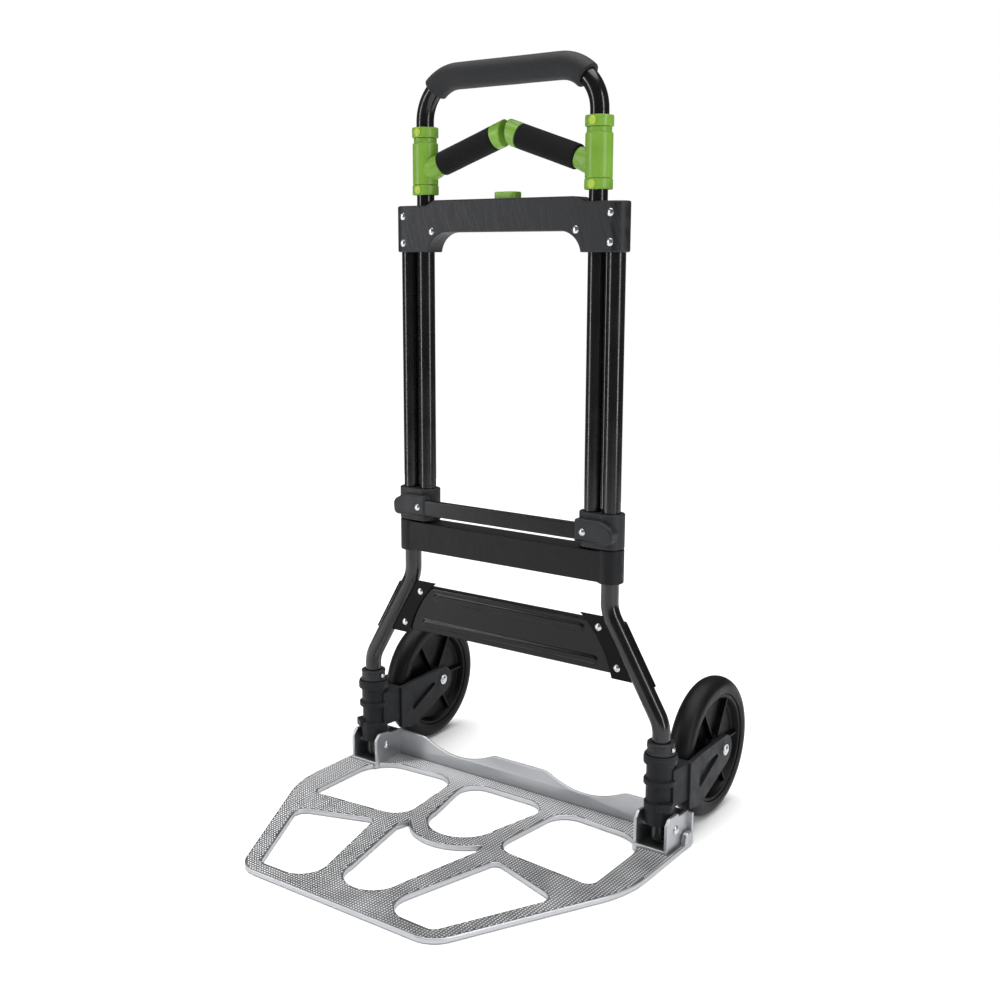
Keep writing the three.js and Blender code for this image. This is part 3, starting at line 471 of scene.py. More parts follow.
# Roughness, then the fine bump (noise, strength, depth), the clouds of roughness (noise, low, high)
# and the clouds of colour (noise, from, to, dark, light).
SATIN = {
    "steel": [0.2, ((650, 2), 0.10, 0.0004), ((22, 4), 0.15, 0.25), ((45, 4), 0.35, 0.65, 0.85, 1.2)],
    "moulded": [0.5, ((1500, 3, 0.6), 0.25, 0.0002), ((60, 4), 0.42, 0.58),
                ((35, 5, 0.6), 0.35, 0.65, 0.86, 1.15)],
    "bright": [0.34, ((900, 3), 0.12, 0.0002), ((80, 3), 0.28, 0.42), ((30, 4), 0.35, 0.65, 0.9, 1.08)],
    "rubber": [0.42, ((900, 4, 0.6), 0.22, 0.0003), ((40, 5, 0.6), 0.34, 0.5),
               ((24, 5, 0.6), 0.3, 0.7, 0.75, 1.3)],
    "hub": [0.45, ((1100, 3), 0.18, 0.0002), ((70, 4), 0.4, 0.58), ((40, 4), 0.35, 0.65, 0.8, 1.3)],
}


def satin(name, color, specular, kind):
    """A finely textured coating, plastic or rubber with clouded roughness and colour."""
    roughness, (fine, strength, depth), (gloss, low, high), (clouds, *tones) = SATIN[kind]
    look = Look(name, color, roughness, Specular_IOR_Level=specular)
    look.bump(look.noise(*fine), strength, depth)
    look.link(look.range(look.noise(*gloss), 0.3, 0.7, low, high), "Roughness")
    look.shade(look.noise(*clouds), *tones)
    return look.material


def grained_plastic(name, color, specular):
    """Charcoal plastic with steep slanting streaks, as on the yokes."""
    look = Look(name, color, 0.46, Specular_IOR_Level=specular)
    slant = look.stretched((330, 60, 38), (0, radians(16), 0))
    streaks = look.noise(1, 4, 0.6, slant)
    fine = look.noise(1400, 2, 0.6)
    first = look.bump(streaks, 0.55, 0.0006)
    look.bump(fine, 0.2, 0.0002, first)
    look.link(look.range(streaks, 0.3, 0.7, 0.36, 0.6), "Roughness")
    look.shade(streaks, 0.32, 0.7, 0.7, 1.55)
    return look.material


def foam(name, color, cell, roughness, specular):
    look = Look(name, color, roughness, Specular_IOR_Level=specular)
    look.shader.inputs["Sheen Weight"].default_value = 0.04
    look.shader.inputs["Sheen Roughness"].default_value = 0.6
    links = {"Vector": look.place, "Scale": cell}
    cells = look.node("ShaderNodeTexVoronoi", links).outputs["Distance"]
    first = look.bump(cells, 0.45, 0.0005)
    look.bump(look.noise(260, 4, 0.6), 0.3, 0.0009, first)
    look.shade(look.noise(240, 5, 0.65), 0.3, 0.7, 0.86, 1.16)
    return look.material


def zinc():
    look = Look("zinc_plate", (0.56, 0.57, 0.59), 0.3, Metallic=1.0)
    look.bump(look.noise(500, 3), 0.15, 0.0003)
    look.link(look.range(look.noise(300, 4), 0.3, 0.7, 0.2, 0.38), "Roughness")
    look.shade(look.noise(400, 3), 0.3, 0.7, 0.85, 1.05)
    return look.material


def spring_steel():
    look = Look("spring_wire", (0.45, 0.45, 0.47), 0.3, Metallic=1.0)
    look.bump(look.noise(900, 2), 0.1, 0.0002)
    look.shade(look.noise(300, 3), 0.3, 0.7, 0.8, 1.1)
    return look.material


def aluminium(name, color, face=None):
    """Pressure-cast aluminium, cloudy and faintly grained, with a darker face at one height: painted shade,
    standing for the shade between raised dots.
    """
    look = Look(name, color, 0.42, Metallic=1.0)
    clouds = look.noise(28, 5, 0.6)
    fine = look.noise(700, 4, 0.65)
    first = look.bump(fine, 0.22, 0.0003)
    look.bump(look.noise(120, 3), 0.12, 0.0008, first)
    look.link(look.range(clouds, 0.3, 0.7, 0.36, 0.52), "Roughness")
    if face is None:
        look.shade(clouds, 0.3, 0.7, 0.92, 1.08)
        return look.material
    # Painted shade: the face at that height is darkened to stand for the shade between the plate's raised
    # dots; rims, wall and ears keep the lighter colour.
    height = look.node("ShaderNodeSeparateXYZ", {"Vector": look.place}).outputs["Z"]
    off = look.node("ShaderNodeMath", {0: height, 1: face * MM}, operation="SUBTRACT").outputs[0]
    off = look.node("ShaderNodeMath", {0: off}, operation="ABSOLUTE").outputs[0]
    bright = look.range(off, 0.15 * MM, 0.35 * MM, 0, 1)
    cloudy = look.range(clouds, 0.3, 0.7, -0.06, 0.06)
    total = look.node("ShaderNodeMath", {0: bright, 1: cloudy}, operation="ADD").outputs[0]
    look.shade(total, 0, 1, 0.52, 0.94)
    return look.material


STEEL_BLACK = (0.0045, 0.0047, 0.005)
CHARCOAL_GREY = (0.0125, 0.0132, 0.0155)
BLACK = satin("black_powder_coat", STEEL_BLACK, 0.45, "steel")
SHEET = satin("black_sheet_steel", STEEL_BLACK, 0.2, "steel")
DARK_SHEET = satin("dark_sheet_steel", STEEL_BLACK, 0.06, "steel")
CHARCOAL = satin("charcoal_plastic", CHARCOAL_GREY, 0.3, "moulded")
FORK_PLASTIC = satin("fork_plastic", (0.0112, 0.0119, 0.014), 0.15, "moulded")
GRAINED = grained_plastic("grained_charcoal_plastic", CHARCOAL_GREY, 0.3)
# The lower yoke takes a darker copy of the grained plastic: painted shade, for the lower yoke lying in more
# shade than the upper one.
SHADED_LOWER_GRAINED = grained_plastic("grained_plastic_painted_shade", (0.0045, 0.0048, 0.0057), 0.19)
GREEN = satin("green_plastic", (0.185, 0.365, 0.042), 0.35, "bright")
LIME = satin("lime_plastic", (0.40, 0.53, 0.06), 0.35, "bright")
HANDLE_FOAM = foam("handle_foam", (0.0155, 0.016, 0.0178), 900, 0.58, 0.22)
SIDE_FOAM = foam("side_foam", (0.0055, 0.0055, 0.0058), 900, 0.92, 0.15)
ZINC = zinc()
SPRING = spring_steel()
# The toe plate's aluminium, with painted shade on its flat face between the dots.
SHADED_PLATE_METAL = aluminium("plate_aluminium_painted_shade", (0.46, 0.47, 0.485), PLATE_T)
# The dots take a much lighter copy of the plate's aluminium: a painted highlight on the raised dots.
DOT_METAL_PAINTED_HIGHLIGHT = aluminium("dot_aluminium_painted_highlight", (0.86, 0.86, 0.87))
RUBBER = satin("tyre_rubber", (0.0050, 0.0051, 0.0054), 0.12, "rubber")
HUB = satin("hub_plastic", (0.0015, 0.0016, 0.0018), 0.15, "hub")

# The lock inside the upper yoke keeps its CAD shapes and takes new finishes; the spring, which shortens under
# the button, gets a mesh of its own.
for node, material in (("button_spring", SPRING), ("lock_bolt_right", ZINC), ("lock_bolt_left", ZINC)):
    slots = frame["nodes"][node].data.materials
    slots.clear()
    slots.append(material)
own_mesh(frame["nodes"]["button_spring"])

# ------------------------------------------------------------------ tubes
LEG_CORNERS = [
    (LEG_LOW_X, LEG_BOTTOM_Z), (LEG_LOW_X, KNEE_LOW_Z), (LEG_TOP_X, KNEE_HIGH_Z), (LEG_TOP_X, LEG_TOP_Z),
]
LEG_LINE = Line(bent(LEG_CORNERS, KNEE_R))
HANDLE_CORNERS = [
    (HANDLE_X, HANDLE_BOTTOM_Z), (HANDLE_X, HANDLE_TOP_Z),
    (-HANDLE_X, HANDLE_TOP_Z), (-HANDLE_X, HANDLE_BOTTOM_Z),
]
HANDLE_LINE = Line(bent(HANDLE_CORNERS, HANDLE_BEND_R, pi / 40))

put_pair("leg_tube", pipe(LEG_LINE, TUBE_R, TUBE_BORE_R), "frame", "black_steel", BLACK)
put("handle_tube_fine", pipe(HANDLE_LINE, TUBE_R, TUBE_BORE_R), "handle", "black_steel", BLACK,
    ["handle_tube"])

# ------------------------------------------------------------------ foam on the handle
FOAM_R = 16.0
FOAM_BEND = pi / 4
FOAM_END_Z = HANDLE_TOP_Z - HANDLE_BEND_R * (1 - cos(FOAM_BEND))


def uneven(part, amount, pitch, seed):
    """Moves every corner a little, so that foam isn't a perfect tube."""
    # Without a seed Blender takes one from the clock, and the foam changes from run to run.
    noise.seed_set(seed)
    out = []
    for v in part[0]:
        here = Vector(v)
        out.append(tuple(here + noise.noise_vector(here / pitch) * amount))
    return out, part[1]


foam_line = HANDLE_LINE.higher_than(FOAM_END_Z - 0.01)
foam_part = pipe(foam_line, FOAM_R, BORE_R, edge=1.3, sides=48, spacing=4)
foam_grip = put("handle_foam_grip_fine", uneven(foam_part, 0.2, 38, 3), "handle", "handle_foam",
                HANDLE_FOAM, ["handle_foam_grip"])

# ------------------------------------------------------------------ yokes
def rivet_pairs(name, places, seat_y, body, r, height, material, slot, node):
    for where, (x, z) in places.items():
        part = head(x, seat_y, z, r, height)
        put_pair(f"{name}_{where}" if where else name, part, body, slot, material,
                 node=f"{node}_{where}" if where else node)


def along_x(corners):
    points = rounded(corners, closed=False)
    xs, zs = [p[0] for p in points], [p[1] for p in points]
    return lambda x: float(np.interp(x, xs, zs))


UPPER = {"z0": 710.8, "z1": 768.5, "crown": 774.5, "r": 15.5}
FAR = 200
ARCH = {"x": 83.0, "z": 735.3, "r": 30.0}
FOOT = asin((UPPER["z0"] - ARCH["z"] + ARCH["r"]) / ARCH["r"])
shoulder = arc(ARCH["x"], ARCH["z"] - ARCH["r"], ARCH["r"], pi / 2, FOOT, 14)
arch = [(-x, z) for x, z in reversed(shoulder)] + shoulder
upper_low = along_x([(-FAR, UPPER["z0"]), (arch[0][0] - 0.3, UPPER["z0"]), *arch,
                     (arch[-1][0] + 0.3, UPPER["z0"]), (FAR, UPPER["z0"])])
upper_high = along_x([
    (-FAR, UPPER["z1"]), (-115, UPPER["z1"], 8), (-103, UPPER["crown"], 8), (103, UPPER["crown"], 8),
    (115, UPPER["z1"], 8), (FAR, UPPER["z1"]),
])
BUTTON_X, BUTTON_Y = 15.0, 10.0


def tube_bores(centres, low, high, r=BORE_R):
    return [turned([(0, low), (r, low), (r, high), (0, high)], (x, 0, 0)) for x in centres]


upper = band(-LEG_TOP_X, LEG_TOP_X, UPPER["r"], upper_low, upper_high, edge=2.2, marks=[x for x, z in arch])
well = slab(box_outline(-BUTTON_X - 0.5, BUTTON_X + 0.5, -BUTTON_Y - 0.5, BUTTON_Y + 0.5, 5),
            755, 780, edge=0.1, steps=1)
cavity = slab(box_outline(-40, 40, -8, 8), 738.5, 768.5, edge=0.1, steps=1)
parting = slab(box_outline(-FAR, FAR, -0.2, 0.2), 690, 790, edge=0.01, steps=1)
upper_cuts = [well, cavity, parting]
upper_cuts += tube_bores((-LEG_TOP_X, LEG_TOP_X), 690, LEG_TOP_Z + 1)
upper_cuts += tube_bores((-HANDLE_X, HANDLE_X), 690, 790)
upper = carved(upper, cut=upper_cuts)
put("upper_yoke_fine", upper, "frame", "charcoal_plastic", GRAINED, ["upper_yoke_front", "upper_yoke_rear"])
YOKE_RIVETS = {"top": (151.7, 755.5), "low": (151.7, 722.3), "inner": (105.8, 736.6)}
rivet_pairs("yoke_rivet", YOKE_RIVETS, -15.4, "frame", 4.5, 1.9, ZINC, "zinc", "yoke_rivet")
for where, (x, z) in YOKE_RIVETS.items():
    put_pair(f"yoke_rivet_back_{where}", head(x, 15.4, z, 4.0, 1.6, axis=(0, 1, 0)), "frame", "zinc", ZINC)

LOWER = {"z0": 321.0, "z1": 363.0, "r": 15.5}
lower = band(-LEG_TOP_X, LEG_TOP_X, LOWER["r"], lambda x: LOWER["z0"] + 1.5,
             lambda x: LOWER["z1"] - 1.5, edge=1.8)
SLEEVE_R = LOWER["r"] + 0.9
sleeve_profile = rounded([(0, LOWER["z0"]), (SLEEVE_R, LOWER["z0"], 1.6), (SLEEVE_R, LOWER["z1"], 1.6),
                          (0, LOWER["z1"])], closed=False)
sleeves = [turned(sleeve_profile, (x, 0, 0), sides=64) for x in (-LEG_TOP_X, LEG_TOP_X)]
POCKETS = 4
RIB_T = 3.0
INNER_X = LEG_TOP_X - 20
pitch = (2 * INNER_X + RIB_T) / POCKETS
pockets = []
for i in range(POCKETS):
    x0 = -INNER_X + i * pitch
    outline = box_outline(x0, x0 + pitch - RIB_T, LOWER["z0"] + 4.5, LOWER["z1"] - 4.5, 3)
    pockets.append(slab(outline, -12, 30, edge=1.2, axis="y"))
lower = carved(lower, add=sleeves,
               cut=pockets + tube_bores((-LEG_TOP_X, LEG_TOP_X), 300, 400))
put("lower_yoke_fine", lower, "frame", "charcoal_plastic", SHADED_LOWER_GRAINED, ["lower_yoke"])

# ------------------------------------------------------------------ release button
button_cap = slab(box_outline(-BUTTON_X, BUTTON_X, -BUTTON_Y, BUTTON_Y, 5), 767, 782.5, edge=1.5, steps=5)
button_stem = slab(box_outline(-22, 22, -2, 2, 0.5), 752, 768, edge=0.3, steps=1)
BOLT_SLOT = {"x": 14.0, "z": 757.0, "travel": 6.0, "r": 2.6}


def slanted_slot(s):
    """The slot in the stem that draws one lock bolt in as the button goes down."""
    x, z, travel, r = BOLT_SLOT.values()
    slope = atan2(travel, -s * travel)
    low_end = arc(s * x, z, r, slope + pi / 2, slope + 3 * pi / 2, 12)
    high_end = arc(s * (x - travel), z + travel, r, slope - pi / 2, slope + pi / 2, 12)
    return slab(low_end + high_end, -4, 4, edge=0.1, steps=1, axis="y")


button = carved(button_cap, add=[button_stem], cut=[slanted_slot(s) for s in (-1, 1)])
put("release_button_fine", button, "button", "green_plastic", GREEN,
    ["release_button"])

# ------------------------------------------------------------------ slider clamps and crossbar
SLIDER = {"z0": 363.5, "z1": 406.0, "r": 16.5}
PAD = {"x0": 114.0, "x1": 166.0, "z0": 370.5, "z1": 399.0, "y": -24.0}
clamp = band(HANDLE_X, LEG_TOP_X, SLIDER["r"], lambda x: SLIDER["z0"], lambda x: SLIDER["z1"], edge=1.4)
pad_outline = rounded([
    (PAD["x0"], PAD["z0"], 2), (PAD["x1"], PAD["z0"], 7), (PAD["x1"] + 1, PAD["z0"] + 19, 9),
    (PAD["x1"] - 16, PAD["z1"], 16), (PAD["x0"], PAD["z1"], 3),
])
pad = slab(pad_outline, PAD["y"], -6, edge=3.2, steps=5, axis="y")
clamp = carved(clamp, add=[pad], cut=tube_bores((HANDLE_X, LEG_TOP_X), 350, 420))
put_pair("slider_clamp", clamp, "handle", "charcoal_plastic", CHARCOAL)
put_pair("slider_rivet", head(125.7, PAD["y"] + 0.1, 383.5, 4.4, 2.2), "handle", "zinc", ZINC)
BAR = {"z0": 373.0, "z1": 393.5, "y0": -22.0, "y1": -14.5}
BAR_HALF = 114.6
BAR_WALL = 1.2
bar_hollow = box_outline(BAR["y0"] + BAR_WALL, BAR["y1"] - BAR_WALL, BAR["z0"] + BAR_WALL,
                         BAR["z1"] - BAR_WALL, 0.8)
bar = slab(box_outline(BAR["y0"], BAR["y1"], BAR["z0"], BAR["z1"], 2), -BAR_HALF, BAR_HALF, edge=0.4,
           holes=[bar_hollow], axis="x")
put("crossbar_fine", bar, "handle", "black_steel", SHEET, ["crossbar"])

# ------------------------------------------------------------------ green collars and side grips
COLLAR_R = 16.5
COLLARS = {"upper_stop_collar": (851.2, 863.7), "lower_stop_collar": (781.5, 793.5)}
for name, (z0, z1) in COLLARS.items():
    ring = rounded([(BORE_R, z0, 0.3), (COLLAR_R, z0, 1.2), (COLLAR_R, z1, 1.2), (BORE_R, z1, 0.3)])
    put_pair(name, turned(ring, (HANDLE_X, 0, 0), sides=64, closed=True), "handle", "green_plastic", GREEN)
for name, z in (("upper_collar_rivet", 857.4), ("lower_collar_rivet", 787.5)):
    put_pair(name, head(HANDLE_X, -COLLAR_R + 0.1, z, 4.8, 1.9), "handle", "green_plastic", LIME)

GRIP_START = Vector((HANDLE_X, 0, 809.4))
GRIP_END = Vector((18.6, 0, 846.4))
GRIP_AXIS = (GRIP_END - GRIP_START).normalized()
GRIP_FOAM_X = 99.0
GRIP_FOAM_R = 15.0
GRIP_CORE_R = 7.5
GRIP_FACE_X = 5.0
ARM_Z0, ARM_Z1 = 793.9, 850.8


def grip_at(x):
    return GRIP_START + GRIP_AXIS * ((x - HANDLE_X) / GRIP_AXIS.x)


sleeve = turned(rounded([
    (BORE_R, ARM_Z0, 0.3), (16, ARM_Z0, 1), (16, 843.8, 1.4), (14.4, 845.2, 0.6),
    (14.4, ARM_Z1, 0.5), (BORE_R, ARM_Z1, 0.3),
]), (HANDLE_X, 0, 0), sides=64, closed=True)
stub_length = (grip_at(GRIP_FOAM_X + 0.5) - GRIP_START).length
stub = turned(rounded([(0, 0), (14.6, 0), (14.2, 17, 6), (12.6, stub_length - 1, 4), (12.6, stub_length, 0.8),
                       (0, stub_length)], closed=False), GRIP_START, GRIP_AXIS, sides=64)
core_length = (grip_at(14) - GRIP_START).length
core = turned([(0, 0), (GRIP_CORE_R, 0), (GRIP_CORE_R, core_length), (0, core_length)], GRIP_START, GRIP_AXIS)
arm = carved(sleeve, add=[stub, core], cut=tube_bores((HANDLE_X,), 780, 870))
put_pair("side_grip_arm", arm, "side_grip", "green_plastic", GREEN)

foam_from = grip_at(GRIP_FOAM_X)
side_foam = pipe(Line([foam_from, grip_at(GRIP_END.x)]), GRIP_FOAM_R, GRIP_CORE_R + 0.2, edge=1.8,
                 sides=48, spacing=4)
for piece in put_pair("side_grip_foam", uneven(side_foam, 0.3, 30, 8), "side_grip", "side_foam", SIDE_FOAM):
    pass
cap_length = (grip_at(-12) - grip_at(GRIP_END.x - 0.4)).length
cap = turned(rounded([(0, 0), (GRIP_FOAM_R + 0.1, 0, 0.8), (GRIP_FOAM_R + 0.1, cap_length), (0, cap_length)],
                     closed=False), grip_at(GRIP_END.x - 0.4), GRIP_AXIS, sides=64)
face = slab(box_outline(GRIP_FACE_X, 60, -30, 30), 800, 900, edge=0.05, steps=1)
cap = carved(cap, keep=[face])
put_pair("side_grip_cap", cap, "side_grip", "green_plastic", GREEN)

# ------------------------------------------------------------------ cross panel and its gussets
PANEL = {"z0": 207.0, "z1": 270.5, "top_x": 143.0, "low_x": 178.0, "t": 1.8, "flange": 9.0}
BEADS = ((258.0, 112.0), (220.0, 132.0))
BEAD_TOP, BEAD_FOOT, BEAD_HEIGHT = 2.6, 5.6, 1.9


def smooth(t):
    t = min(max(t, 0.0), 1.0)
    return t * t * (3 - 2 * t)


def bead_height(x, z):
    height = 0.0
    for bead_z, half in BEADS:
        distance = hypot(max(abs(x) - half, 0), z - bead_z)
        height = max(height, smooth((BEAD_FOOT - distance) / (BEAD_FOOT - BEAD_TOP)))
    return BEAD_HEIGHT * height


def pressed_panel():
    front = -PANEL["t"] / 2
    bend = 2.6
    folded = rounded([(PANEL["flange"], PANEL["z0"]), (front, PANEL["z0"], bend), (front, PANEL["z1"], bend),
                      (PANEL["flange"], PANEL["z1"])], closed=False)
    profile = []
    for (y0, z0), (y1, z1) in zip(folded, folded[1:]):
        count = max(1, round(hypot(y1 - y0, z1 - z0)))
        profile += [(y0 + (y1 - y0) * i / count, z0 + (z1 - z0) * i / count) for i in range(count)]
    profile.append(folded[-1])
    across = 240
    vertices, faces = [], []
    for side in (0, 1):
        for i, (y, z) in enumerate(profile):
            before, after = profile[max(i - 1, 0)], profile[min(i + 1, len(profile) - 1)]
            dy, dz = after[0] - before[0], after[1] - before[1]
            size = hypot(dy, dz)
            inward = (dz / size, -dy / size)
            reach = np.interp(z, (PANEL["z0"], PANEL["z1"]), (PANEL["low_x"], PANEL["top_x"]))
            for k in range(across + 1):
                x = reach * (2 * k / across - 1)
                pressed = bead_height(x, z) if abs(y - front) < 0.01 else 0
                offset = side * PANEL["t"]
                vertices.append((x, y - pressed + offset * inward[0], z + offset * inward[1]))
    row = across + 1
    sheet = len(profile) * row
    for i in range(len(profile) - 1):
        for k in range(across):
            a = i * row + k
            faces.append((a, a + 1, a + row + 1, a + row))
            faces.append((sheet + a, sheet + a + row, sheet + a + row + 1, sheet + a + 1))
        for k in (0, across):
            a = i * row + k
            faces.append((a, a + row, sheet + a + row, sheet + a))
    for i in (0, len(profile) - 1):
        for k in range(across):
            a = i * row + k
            faces.append((a, a + 1, sheet + a + 1, sheet + a))
    return vertices, faces


put("cross_panel_fine", pressed_panel(), "frame", "black_steel", SHEET, ["cross_panel"], weighted=False)

GUSSET = {"y0": -3.4, "y1": -1.2, "tip_x": 112.0, "top_z": 278.0, "low_x": 158.0, "low_z": 202.0,
          "edge_r": 145.0}


def gusset():
    tip, low = (GUSSET["tip_x"], GUSSET["top_z"]), (GUSSET["low_x"], GUSSET["low_z"])
    chord = Vector((low[0] - tip[0], low[1] - tip[1]))
    reach = sqrt(GUSSET["edge_r"] ** 2 - (chord.length / 2) ** 2)
    middle = Vector(((tip[0] + low[0]) / 2, (tip[1] + low[1]) / 2))
    centre = middle + Vector((chord.y, -chord.x)).normalized() * reach
    start = atan2(tip[1] - centre.y, tip[0] - centre.x)
    end = atan2(low[1] - centre.y, low[0] - centre.x)
    inner = arc(centre.x, centre.y, GUSSET["edge_r"], start, end, 20)
    outer = rounded([(low[0] - 1, low[1]), (low[0] + 34, low[1], 3), (LEG_TOP_X + 2, tip[1], 3),
                     (tip[0] + 1, tip[1])], closed=False)
    web = slab(inner + outer[1:-1], GUSSET["y0"], GUSSET["y1"], edge=0.6, axis="y")
    low_knee, high_knee = Vector((LEG_LOW_X, 0, KNEE_LOW_Z)), Vector((LEG_TOP_X, 0, KNEE_HIGH_Z))
    saddle = pipe(Line([low_knee, high_knee]), TUBE_R + 2.6, 0, edge=0.3)
    room = slab(box_outline(GUSSET["tip_x"], LEG_LOW_X, low[1], tip[1] - 6, 2), -3.0, 20, edge=0.1,
                steps=1, axis="y")
    saddle = carved(saddle, keep=[room])
    return carved(web, add=[saddle], cut=[pipe(LEG_LINE, TUBE_R + 0.3, 0, edge=0.1)])


put_pair("gusset", gusset(), "frame", "black_steel", DARK_SHEET)
GUSSET_RIVETS = {"top": (138.5, 263.4), "low": (165.5, 216.4)}
rivet_pairs("gusset_rivet", GUSSET_RIVETS, GUSSET["y0"] + 0.1, "frame", 4.6, 2.1, ZINC, "zinc",
            "gusset_rivet")

# ------------------------------------------------------------------ collar above each fork
COLLAR = {"z0": 122.4, "z1": 137.0, "r": 16.7, "rivet_z": 129.5}


def guide_collar():
    r, z0, z1 = COLLAR["r"], COLLAR["z0"], COLLAR["z1"]
    outside = [(BORE_R, z0, 0.4), (r + 0.6, z0, 0.8), (r + 0.6, z0 + 2.6, 0.5), (r - 0.3, z0 + 3.2, 0.3),
               (r - 0.5, z1 - 3.4, 0.3), (r + 0.2, z1 - 2.8, 0.4), (r - 0.1, z1 - 0.8, 0.7),
               (r - 1.8, z1, 0.6), (BORE_R, z1, 0.4)]
    ring = turned(rounded(outside), (LEG_LOW_X, 0, 0), sides=72, closed=True)
    boss = rounded([(0, -r - 0.3), (4.6, -r - 0.3, 0.6), (4.6, r + 0.3, 0.6), (0, r + 0.3)], closed=False)
    boss = turned(boss, (LEG_LOW_X, 0, COLLAR["rivet_z"]), (1, 0, 0), sides=32)
    return carved(ring, add=[boss], cut=tube_bores((LEG_LOW_X,), 100, 150))


put_pair("guide_collar", guide_collar(), "frame", "charcoal_plastic", CHARCOAL)
collar_heads = [head(LEG_LOW_X + s * (COLLAR["r"] + 0.2), 0, COLLAR["rivet_z"], 3.4, 1.7, axis=(s, 0, 0))
                for s in (-1, 1)]
put_pair("guide_collar_rivet", joined(*collar_heads), "frame", "zinc", ZINC)

# ------------------------------------------------------------------ wheel forks
ARM_OUTER, ARM_INNER = 25.0, 19.0
FORK_TOP_Z = 122.0


def fork_sleeve():
    outside = [(17.4, 34, 0.8), (18.2, 52, 1), (19, 55.5, 0.8), (19, 61, 0.9), (15.8, 62.2, 0.6),
               (15.8, 84, 0.6), (20, 84.6, 0.9), (20, 90.5, 0.9), (16.4, 91.6, 0.6), (16.8, 109.6, 0.6),
               (20.6, 111, 1.2), (20.8, FORK_TOP_Z - 3.6, 0.5), (20.1, FORK_TOP_Z - 3, 0.4),
               (20.1, FORK_TOP_Z, 1)]
    profile = rounded([(0, 34)] + outside + [(0, FORK_TOP_Z)], closed=False)
    return turned(profile, (LEG_LOW_X, 0, 0), sides=72)


def arm_outline():
    end = arc(AXLE_Y, AXLE_Z - 1, 20, radians(-67), pi / 2, 20)
    start = rounded([(31, 60), (31, 45, 1.5), (46, 42, 3), (50, 40, 3), (66, 41.5, 8), end[0]], closed=False)
    back = rounded([end[-1], (60, 107.5, 30), (31, 104, 1.5), (31, 60)], closed=False)
    return start[:-1] + end + back[1:-1]


def fork():
    crown = [(LEG_LOW_X - 18.6, -1), (LEG_LOW_X + 18.6, -1), (LEG_LOW_X + 22.5, 38), (LEG_LOW_X - 22.5, 38)]
    crown = slab(crown, 56, 104.5, edge=1.6)
    room = turned([(0, -17.8), (WHEEL_R + 3, -17.8), (WHEEL_R + 3, 17.8), (0, 17.8)],
                  (LEG_LOW_X, AXLE_Y, AXLE_Z), (1, 0, 0), sides=96)
    crown = carved(crown, cut=[room])
    arms = []
    for s in (-1, 1):
        near, far = sorted((LEG_LOW_X + s * ARM_INNER, LEG_LOW_X + s * ARM_OUTER))
        plate = slab(arm_outline(), near, far, edge=1.0, steps=3, axis="x")
        recess = rounded([(56, 62, 3), (110, 88.5, 2.5), (104, 92, 3), (56, 88, 3)])
        floor = LEG_LOW_X + s * (ARM_OUTER - 4)
        recess = slab(recess, *sorted((floor, floor + s * 6)), edge=0.5, steps=2, axis="x")
        slot_outline = rounded([(54, 64, 1.6), (61, 61, 1.6), (120, 84, 1.6), (114, 89, 1.6)])
        inner = LEG_LOW_X + s * (ARM_INNER + 0.6)
        slot = slab(slot_outline, *sorted((inner, inner - s * 6)), edge=0.4, steps=2, axis="x")
        boss = rounded([(0, ARM_OUTER - 1), (13.5, ARM_OUTER - 1), (13.5, ARM_OUTER + 0.25, 0.5),
                        (0, ARM_OUTER + 0.25)], closed=False)
        boss = turned(boss, (LEG_LOW_X, AXLE_Y, AXLE_Z), (s, 0, 0), sides=48)
        arms.append(carved(plate, add=[boss], cut=[recess, slot]))
    nose = rounded([(LEG_LOW_X + 6, -22, 4), (LEG_LOW_X + 23, -12, 5), (LEG_LOW_X + 17, 6, 0.5),
                    (LEG_LOW_X, 0, 0)])
    nose = slab(nose, 54, 64, edge=1.2)
    axle_hole = turned([(0, -40), (5.3, -40), (5.3, 40), (0, 40)], (LEG_LOW_X, AXLE_Y, AXLE_Z), (1, 0, 0))
    return carved(fork_sleeve(), add=[crown, *arms, nose],
                  cut=[*tube_bores((LEG_LOW_X,), 20, 140), axle_hole])


put_pair("wheel_fork", fork(), "fork", "fork_plastic", FORK_PLASTIC)

bolt_half = [(0, 28.8), (2.6, 28.6, 1.5), (5.0, 27.4, 1.2), (5.3, 26.6, 0.3), (7.2, 26.6, 0.4),
             (7.2, ARM_OUTER + 0.1, 0.2), (5, ARM_OUTER + 0.1)]
bolt_profile = bolt_half + [(c[0], -c[1], *c[2:]) for c in reversed(bolt_half)]
axle_bolt = turned(rounded(bolt_profile, closed=False), (LEG_LOW_X, AXLE_Y, AXLE_Z), (1, 0, 0), sides=48)
put_pair("axle_bolt", axle_bolt, "fork", "zinc", ZINC)

# ------------------------------------------------------------------ wheels
HUB_R = 69.4
AXLE_PLACE = (LEG_LOW_X, AXLE_Y, AXLE_Z)


def tyre():
    shoulder, rise = 77.0, WHEEL_R - 77.0
    tread = [(shoulder + rise * sin(a), -WHEEL_HALF * cos(a)) for a in np.linspace(0, pi, 41)]
    inner = HUB_R + 0.2
    side = rounded([(inner, -13.4), (inner, -14.6, 0.5), (HUB_R + 2.4, -15.4, 0.8), (73.6, -15.4, 0.4),
                    (74.4, -WHEEL_HALF, 0.5), tread[0]], closed=False)
    other = [(r, -w) for r, w in reversed(side)]
    return turned(side[:-1] + tread + other[1:], AXLE_PLACE, (1, 0, 0), sides=120, closed=True)


